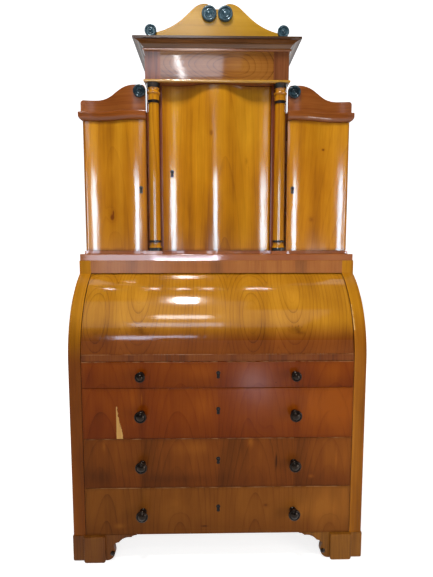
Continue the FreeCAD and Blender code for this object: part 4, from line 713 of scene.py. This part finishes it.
def dress_doors():
    """Golden veneer in broad bands under a deep, slightly uneven polish, with a few knots."""
    polish = {"gloss": 0.12, "waver": 0.25, "ripple": 0.25, "bands": 1.4, "lines": 0.2, "streaks": 0.4,
              "fibres": 0.25, "fade": (1720.0, 1470.0, "#fff6ff")}
    left = wood("left_door_cherry", GOLD, seed=11.0, pith=(-420.0, 60.0), ring=14.0,
                marks=[(-425.0, 1318.0, 9.0, 12.0, 1.5, 0.7), (-420.0, 1336.0, 4.0, 14.0, 0.5, 0.5),
                       (-423.0, 1325.0, 30.0, 50.0, 1.0, 0.12)],
                edges=face_of("left_door"), **polish)
    dress(left, "left_door")
    # The right door is painted a little lighter than the left (level 0.36): painted light from the right.
    right = wood("right_door_cherry", GOLD, seed=37.0, pith=(560.0, 40.0), tilt=0.12, ring=13.0, level=0.36,
                 marks=[(430.0, 1590.0, 8.0, 6.0, 1.0, 0.5), (385.0, 1310.0, 12.0, 14.0, 1.2, 0.35)],
                 edges=face_of("right_door"), **polish)
    dress(right, "right_door")
    # The centre door takes the gold painted brighter as painted light, and its fade darkens its top as painted
    # shade.
    polish.update(bands=2.0, fade=(1470.0, 1760.0, "#f2f6ff"))
    centre = wood("centre_door_cherry", PAINTED_LIT_GOLD, seed=23.0, pith=(30.0, 50.0), ring=16.0,
                  marks=[(-22.0, 1650.0, 8.0, 14.0, 1.0, 0.35), (120.0, 1545.0, 8.0, 20.0, 1.0, 0.3)],
                  edges=face_of("centre_door"), **polish)
    dress(centre, "centre_door")


def dress_fronts():
    """Slide and drawer fronts: four leaves of veneer each, duller and browner towards the floor; the darker tones
    are partly the veneer's own and partly painted shade, and each front turns a little darker towards its bottom
    edge.
    """
    for order, (node, finish) in enumerate(FRONTS.items()):
        edges = face_of(node)
        material = wood(node.replace("front", "cherry"), leaf=FRONT_LEAF, seed=41.0 + 6 * order,
                        pith=(FRONT_HEART, 22.0), tilt=0.14, ring=15.0, lines=0.25, bands=0.35, streaks=0.3,
                        fibres=0.2, mottle=0.65, edges=edges, grime=0.2, shine=0.08, ripple=0.04,
                        fade=(edges[2] + 100.0, edges[2] + 8.0, "#e8e2e4"), **finish)
        dress(material, node)
    ends = dovetails("dovetailed_end", BROWN)
    for node in list(FRONTS)[1:]:
        mark(node, ends, lambda middle, way: abs(way.x) > SQUARELY)


def dress_lower_case():
    """Sides in calm upright grain, paler swept edges that darken towards the floor, the left much more as painted
    shade, worn feet with the right front one painted lighter as painted light, and a top that mirrors the light.
    """
    dress(wood("side_cherry", SIDE, across="Y", seed=61.0, pith=(-60.0, 30.0), tilt=0.06, ring=16.0, lines=0.35,
               gloss=0.26, shine=0.35, waver=0.15), "lower_sides", "upper_uprights")
    dress(wood("stile_cherry", BROWN, seed=67.0, gloss=0.3, shine=0.3), "front_stiles", "pilasters")
    # Both edges darken towards the floor, the left much more than the right: that difference is painted shade on
    # the left.
    for side, name, fade, wedge in (
            (-1, "left", (960.0, 760.0, "#a886a0"), None),
            (1, "right", (1000.0, 860.0, "#d0bcd8"), (504.0, 985.0, 893.0, 0.02, 2.5))):
        edge = wood(name + "_edge_cherry", AMBER, seed=65.0 + side, lines=0.2, streaks=0.4, fibres=0.18,
                    gloss=0.25, shine=0.1, fade=fade, wedge=wedge)
        for node in ("lower_sides", "front_stiles"):
            mark(node, edge, lambda middle, way: way.y < -PARTLY and middle.x * side > 0)
    # The rail's pale upper arris is partly rubbed wood and partly a painted glint of light.
    dress(wood("rail_cherry", CHESTNUT, seed=69.0, leaf=(188.0, -520.0, 0.05, 0.05), gloss=0.25, shine=0.15,
               lines=0.2, edges=face_of("cylinder_rail"), grime=0.1, worn=0.35), "cylinder_rail")
    foot = {"gloss": 0.45, "shine": 0.2, "level": 0.5}
    dress(wood("left_foot_cherry", LEFT_FOOT, seed=71.0, **foot), "front_feet", "back_feet")
    # The right front foot is painted lighter than the left: painted light from the right.
    mark("front_feet", wood("right_foot_painted_lit_cherry", RIGHT_FOOT_PAINTED_LIT, seed=72.0, **foot),
         lambda middle, way: middle.x > 0)
    dress(wood("frieze_cherry", TAN, seed=73.0, lines=0.15, streaks=0.4, gloss=0.14, waver=0.1,
               leaf=(340.0, -510.0, 0.06, 0.04)), "frieze_rail")
    dress(wood("top_cherry", COPPER, "X", "Y", seed=77.0, tilt=0.0, lines=0.15, gloss=0.07),
          "bureau_top", "upper_deck")
    dress(wood("board_cherry", RED, "X", "Y", seed=79.0, tilt=0.0, gloss=0.2),
          "desk_bed", "entablature_boards", "writing_board", "slide_frame")


def dress_upper_case():
    """Crests and mouldings along the grain, a frieze with an eye of rings, and pale columns; the left caps are
    painted lighter as painted light, the cornice ends dark grey as painted shade, and the upper bead pale as a
    painted highlight.
    """
    dress(wood("crest_cherry", RED, "X", "Z", seed=83.0, ring=9.0, lines=0.25, level=0.48, gloss=0.2,
               pith=(1790.0, 20.0)), "side_crests", "side_caps")
    # The left caps are painted lighter than the right ones: painted light.
    mark("side_caps", wood("left_cap_painted_lit_cherry", LEFT_CAP_PAINTED_LIT, "X", "Z", seed=84.0, gloss=0.2),
         lambda middle, way: middle.x < 0)
    dress(wood("entablature_cherry", HONEY, "X", "Z", seed=89.0, ring=10.0, lines=0.55, warp=30.0, gloss=0.05,
               waver=0.12, ripple=0.04, hearts=[(1902.0, 55.0, 2.4), (1690.0, -200.0, 9.0)],
               marks=[(1905.0, 130.0, 60.0, 90.0, 0.0, -0.2), (1905.0, 30.0, 40.0, 30.0, 0.0, 0.15)]),
          "entablature_panels")
    mark("entablature_panels", wood("end_block_cherry", MAROON, seed=91.0, ring=8.0, lines=0.5, gloss=0.12,
                                    level=0.6),
         lambda middle, way: middle.x > BLOCK_START * MM and way.y < -MOSTLY)
    mark("entablature_panels", wood("left_block_cherry", RED, seed=92.0, ring=8.0, lines=0.3, gloss=0.12),
         lambda middle, way: middle.x < -BLOCK_START * MM and way.y < -MOSTLY)
    dress(wood("moulding_cherry", SMOKED, "X", "Z", seed=97.0, gloss=0.16, bands=1.6), "cornice")
    # The ends of the cornice are painted dark grey: painted shade.
    mark("cornice", wood("cornice_end_painted_shade_cherry", CORNICE_END_PAINTED_SHADE, "Y", "Z", seed=95.0, gloss=0.3, shine=0.1),
         lambda middle, way: abs(way.x) > MOSTLY)
    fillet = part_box("cornice")[1].z - FILLET * MM
    mark("cornice", wood("fillet_cherry", SOOTY, "X", "Z", seed=96.0, gloss=0.2),
         lambda middle, way: middle.z > fillet and way.z < MOSTLY)
    dress(wood("bead_cherry", STRAW, "X", "Z", seed=98.0, gloss=0.14), "bead_mouldings")
    # The upper bead is painted pale, with a paler patch on its left part: a painted highlight.
    mark("bead_mouldings", wood("upper_bead_painted_highlight_cherry", BEAD_PAINTED_HIGHLIGHT, "X", "Z", seed=99.0, gloss=0.12, level=0.5,
                                marks=[(BEAD_TOP, -70.0, 60.0, 190.0, 0.0, -0.4)]),
         lambda middle, way: middle.z > BEAD_PARTING * MM)
    dress(wood("pediment_cherry", PALE, "X", "Z", seed=101.0, gloss=0.2, shine=0.35, lines=0.16, ring=12.0,
               streaks=0.4, fibres=0.2), "pediment")
    dress(wood("column_cherry", GOLD, seed=103.0, solid=1.0, gloss=0.1), "column_shafts")


def dress_inside():
    """Plain cherry in the desk, and bare knotty spruce for the back, the drawer boxes and the boards."""
    dress(wood("inside_cherry", RED, "X", "Y", seed=107.0, gloss=0.4),
          "pigeonhole_case", "desk_drawer_left", "desk_drawer_right")
    spruce = {"tones": SPRUCE, "ring": 6.0, "lines": 0.6, "gloss": 0.6, "shine": 0.2}
    back = wood("back_spruce", leaf=(176.0, -530.0, 0.25, 0.8), seed=109.0, **spruce,
                marks=[(-300.0, 700.0, 12.0, 16.0, 2.0, 0.6), (120.0, 1400.0, 10.0, 14.0, 2.0, 0.6),
                       (390.0, 420.0, 13.0, 18.0, 2.0, 0.6), (40.0, 300.0, 9.0, 13.0, 2.0, 0.6)])
    dress(back, "lower_back", "upper_backs")
    for node in ("entablature_panels", "entablature_boards"):
        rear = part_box(node)[1].y - REAR_DEPTH * MM
        mark(node, back, lambda middle, way: middle.y > rear and way.y > SQUARELY)
    dress(wood("box_spruce", along="Y", across="Z", seed=113.0, **spruce),
          "lower_drawer_box", "middle_drawer_box", "upper_drawer_box", "drawer_guides")
    dress(wood("board_spruce", along="X", across="Y", seed=127.0, leaf=(150.0, -300.0, 0.2, 0.7), **spruce),
          "bottom_board", "dust_boards", "shelves")


def dress_rest():
    """Black turnings, with a bluish sheen of the sky painted into the colour of the roundels, those on the
    pediment painted lighter as lit, and the iron and steel fittings.
    """
    black = ebonised("ebonised_knob", "#0c0705", "#261910", 0.22, "#b4a294")
    dress(black, "lower_drawer_knobs", "middle_drawer_knobs", "upper_drawer_knobs", "slide_knobs")
    dress(ebonised("ebonised_ring", "#14120f", "#3a2415", 0.16), "column_rings")
    # The roundels' bluish colours are a painted reflection of the sky; the pediment ones are painted lighter as
    # painted light.
    dress(ebonised("ebonised_roundel_painted_sheen", "#263b43", "#496069", 0.15, "#dcf0f8"), "roundels")
    mark("roundels", ebonised("ebonised_crest_roundel_painted_sheen", "#10191d", "#38505a", 0.12, "#dcf0f8"),
         lambda middle, way: middle.z < CREST_TOP * MM)
    mark("roundels", black, lambda middle, way: middle.z < FEET_TOP * MM)
    iron = metal("blackened_iron", "#6a6865", "#1d1b19", 0.45, 6.0)
    dress(iron, "cylinder_arms", "cylinder_levers", "slide_brackets", *LOCKS)
    dress(metal("old_steel", "#a7a49e", "#55514b", 0.4, 8.0), "cylinder_pivots", "door_pins")
    bright = metal("door_plate_steel", "#8f8c88", "#2a2826", 0.35, 3.0)
    plate = metal("key_plate_iron", "#3b3834", "#0d0c0b", 0.4, 4.0)
    for name in LOCKS:
        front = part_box(name)[0].y + PLATE_DEPTH * MM
        mark(name, bright if "door" in name else plate, lambda middle, way: middle.y < front)


def add_piece(name, points, faces, body):
    """A new piece in the frame, from corners in millimetres, that moves with a body."""
    mesh = bpy.data.meshes.new(name)
    mesh.from_pydata([Vector(point) * MM for point in points], [], faces)
    piece = bpy.data.objects.new(name, mesh)
    bpy.context.scene.collection.objects.link(piece)
    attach(piece, body)
    return piece


def lay_leather():
    """The goatskin of the writing board: one thin skin in its recess, with slight waves and a pared rim."""
    low, high = [Vector(corner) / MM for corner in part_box("writing_leather")]
    left, right = low.x + SKIN_GAP, high.x - SKIN_GAP
    front, back = low.y + SKIN_GAP, high.y - SKIN_GAP
    columns, rows = round((right - left) / SKIN_STEP) + 1, round((back - front) / SKIN_STEP) + 1
    points = []
    for under in (False, True):
        for row in range(rows):
            for column in range(columns):
                x = left + (right - left) * column / (columns - 1)
                y = front + (back - front) * row / (rows - 1)
                # Two slow waves that cross, their lengths in millimetres.
                wave = math.sin(x / 61.0 + 1.3 * math.sin(y / 47.0)) * math.sin(y / 38.0 + x / 170.0)
                rim = min(x - left, right - x, y - front, back - y)
                top = SKIN_RIM + (SKIN_THICKNESS - SKIN_RIM) * min(rim / SKIN_STEP, 1.0) + SKIN_WAVE * wave
                points.append((x, y, low.z + (SKIN_GAP / 10 if under else top)))
    count = columns * rows
    faces = []
    for row in range(rows - 1):
        for column in range(columns - 1):
            near = row * columns + column
            far = near + columns
            faces.append((near, near + 1, far + 1, far))
            faces.append((near + count, far + count, far + 1 + count, near + 1 + count))
    rim = [*range(columns), *range(2 * columns - 1, count, columns),
           *range(count - 2, count - columns - 1, -1), *range(count - 2 * columns, 0, -columns)]
    for here, there in zip(rim, rim[1:] + rim[:1]):
        faces.append((here, here + count, there + count, there))
    skin = add_piece("writing_skin", points, faces, "writing_slide")
    skin.data.materials.append(hide())
    for face in skin.data.polygons:
        face.use_smooth = abs(face.normal.z) > MOSTLY
    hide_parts("writing_leather")


def begin_growth(name, **sizes):
    """A Geometry Nodes tree that has an input for each size, and the sockets of those inputs."""
    tree = bpy.data.node_groups.new(name, "GeometryNodeTree")
    tree.interface.new_socket("Geometry", in_out="INPUT", socket_type="NodeSocketGeometry")
    for size, value in sizes.items():
        kind = "NodeSocketVector" if isinstance(value, tuple) else "NodeSocketFloat"
        tree.interface.new_socket(size, in_out="INPUT", socket_type=kind).default_value = value
    tree.interface.new_socket("Geometry", in_out="OUTPUT", socket_type="NodeSocketGeometry")
    return tree, put(tree, "NodeGroupInput").node.outputs


def end_growth(tree, spots, shape, turn, scale, material):
    """Sets the shape on every spot and makes one mesh of them, in their material."""
    copies = put(tree, "GeometryNodeInstanceOnPoints",
                 {"Points": spots, "Instance": shape, "Rotation": turn, "Scale": scale})
    whole = put(tree, "GeometryNodeRealizeInstances", [copies])
    whole = put(tree, "GeometryNodeSetMaterial", {"Geometry": whole, "Material": material})
    put(tree, "NodeGroupOutput", [whole], out=None)


def grow(name, tree, points, sizes, body):
    """Runs a tree on loose points and keeps the result as a plain mesh that rides on the body."""
    piece = add_piece(name, points, [], body)
    modifier = piece.modifiers.new("growth", "NODES")
    modifier.node_group = tree
    for item in tree.interface.items_tree:
        if item.in_out == "INPUT" and item.name in sizes:
            modifier[item.identifier] = sizes[item.name]
    depsgraph = bpy.context.evaluated_depsgraph_get()
    grown = bpy.data.meshes.new_from_object(piece.evaluated_get(depsgraph))
    piece.modifiers.remove(modifier)
    piece.data = grown


def set_lock_screws():
    """Slotted iron screws, four to a lock, on the side that the open drawer or door shows."""
    iron = metal("screw_iron", "#8b8781", "#2b2724", 0.4, 2.0)
    tree, size = begin_growth("slotted_screws", Radius=SCREW_RADIUS * MM, Slot=SCREW_SLOT * MM)
    ball = put(tree, "GeometryNodeMeshUVSphere", {"Segments": 20, "Rings": 10, "Radius": size["Radius"]})
    dome = put(tree, "GeometryNodeTransform", {"Geometry": ball, "Scale": (1.0, 1.0, DOME)})
    across = put(tree, MATH, [size["Radius"], 3.0], operation="MULTIPLY")
    deep = put(tree, MATH, [size["Radius"], DOME], operation="MULTIPLY")
    blade = put(tree, "GeometryNodeMeshCube", {"Size": put(tree, JOIN, [across, size["Slot"], deep])})
    blade = put(tree, "GeometryNodeTransform",
                {"Geometry": blade, "Translation": put(tree, JOIN, [0.0, 0.0, deep])})
    head = put(tree, "GeometryNodeMeshBoolean", {"Mesh 1": dome, "Mesh 2": blade}, operation="DIFFERENCE",
               solver="EXACT")
    head = put(tree, "GeometryNodeTransform", {"Geometry": head, "Rotation": (-math.pi / 2, 0.0, 0.0)})
    chance = put(tree, "FunctionNodeRandomValue", {"Max": math.pi, "Seed": 7}, out="Value", data_type="FLOAT")
    turn = put(tree, "FunctionNodeEulerToRotation", [put(tree, JOIN, [0.0, chance, 0.0])])
    end_growth(tree, size["Geometry"], head, turn, (1.0, 1.0, 1.0), iron)
    for lock, body in LOCKS.items():
        low, high = [Vector(corner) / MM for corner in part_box(lock)]
        points = [(x, high.y, z) for x in (low.x + SCREW_INSET, high.x - SCREW_INSET)
                  for z in (low.z + SCREW_INSET, low.z + LOCK_HEIGHT - SCREW_INSET)]
        grow(lock + "_screws", tree, points, {}, body)


def stamp_border():
    """Gilt lozenges pressed into the leather between its two lines, large and small by turns."""
    gilt = metal("worn_gilding", "#d8b25c", "#8a6428", 0.35, 5.0)
    low, high = [Vector(corner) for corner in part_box("writing_leather")]
    inset = STAMP_INSET * MM
    tree, size = begin_growth("tooled_border", Width=1.0, Length=1.0, Middle=(0.0, 0.0, 0.0),
                              Step=STAMP_STEP * MM, Stamp=STAMP_RADIUS * MM, Thickness=STAMP_THICKNESS * MM)
    line = put(tree, "GeometryNodeCurvePrimitiveQuadrilateral", {0: size["Width"], 1: size["Length"]})
    line = put(tree, "GeometryNodeTransform", {"Geometry": line, "Translation": size["Middle"]})
    spots = put(tree, "GeometryNodeCurveToPoints", {"Curve": line, "Length": size["Step"]}, mode="LENGTH")
    lozenge = put(tree, "GeometryNodeMeshCylinder",
                  {"Vertices": 4, "Radius": size["Stamp"], "Depth": size["Thickness"]})
    odd = put(tree, MATH, [put(tree, "GeometryNodeInputIndex"), 2.0], operation="MODULO")
    scale = total(tree, 1.0, (odd, STAMP_SMALL - 1.0))
    end_growth(tree, spots, lozenge, (0.0, 0.0, 0.0), put(tree, JOIN, [scale, scale, 1.0]), gilt)
    middle = ((low.x + high.x) / 2, (low.y + high.y) / 2, low.z + STAMP_LEVEL * MM)
    grow("tooled_border", tree, [(0.0, 0.0, 0.0)],
         {"Width": high.x - low.x - 2 * inset, "Length": high.y - low.y - 2 * inset, "Middle": middle},
         "writing_slide")


bpy.context.scene.view_settings.view_transform = "Standard"
add_camera()
add_light()
add_stage()
dress_cylinder()
dress_doors()
dress_fronts()
dress_lower_case()
dress_upper_case()
dress_inside()
dress_rest()
lay_leather()
stamp_border()
set_lock_screws()
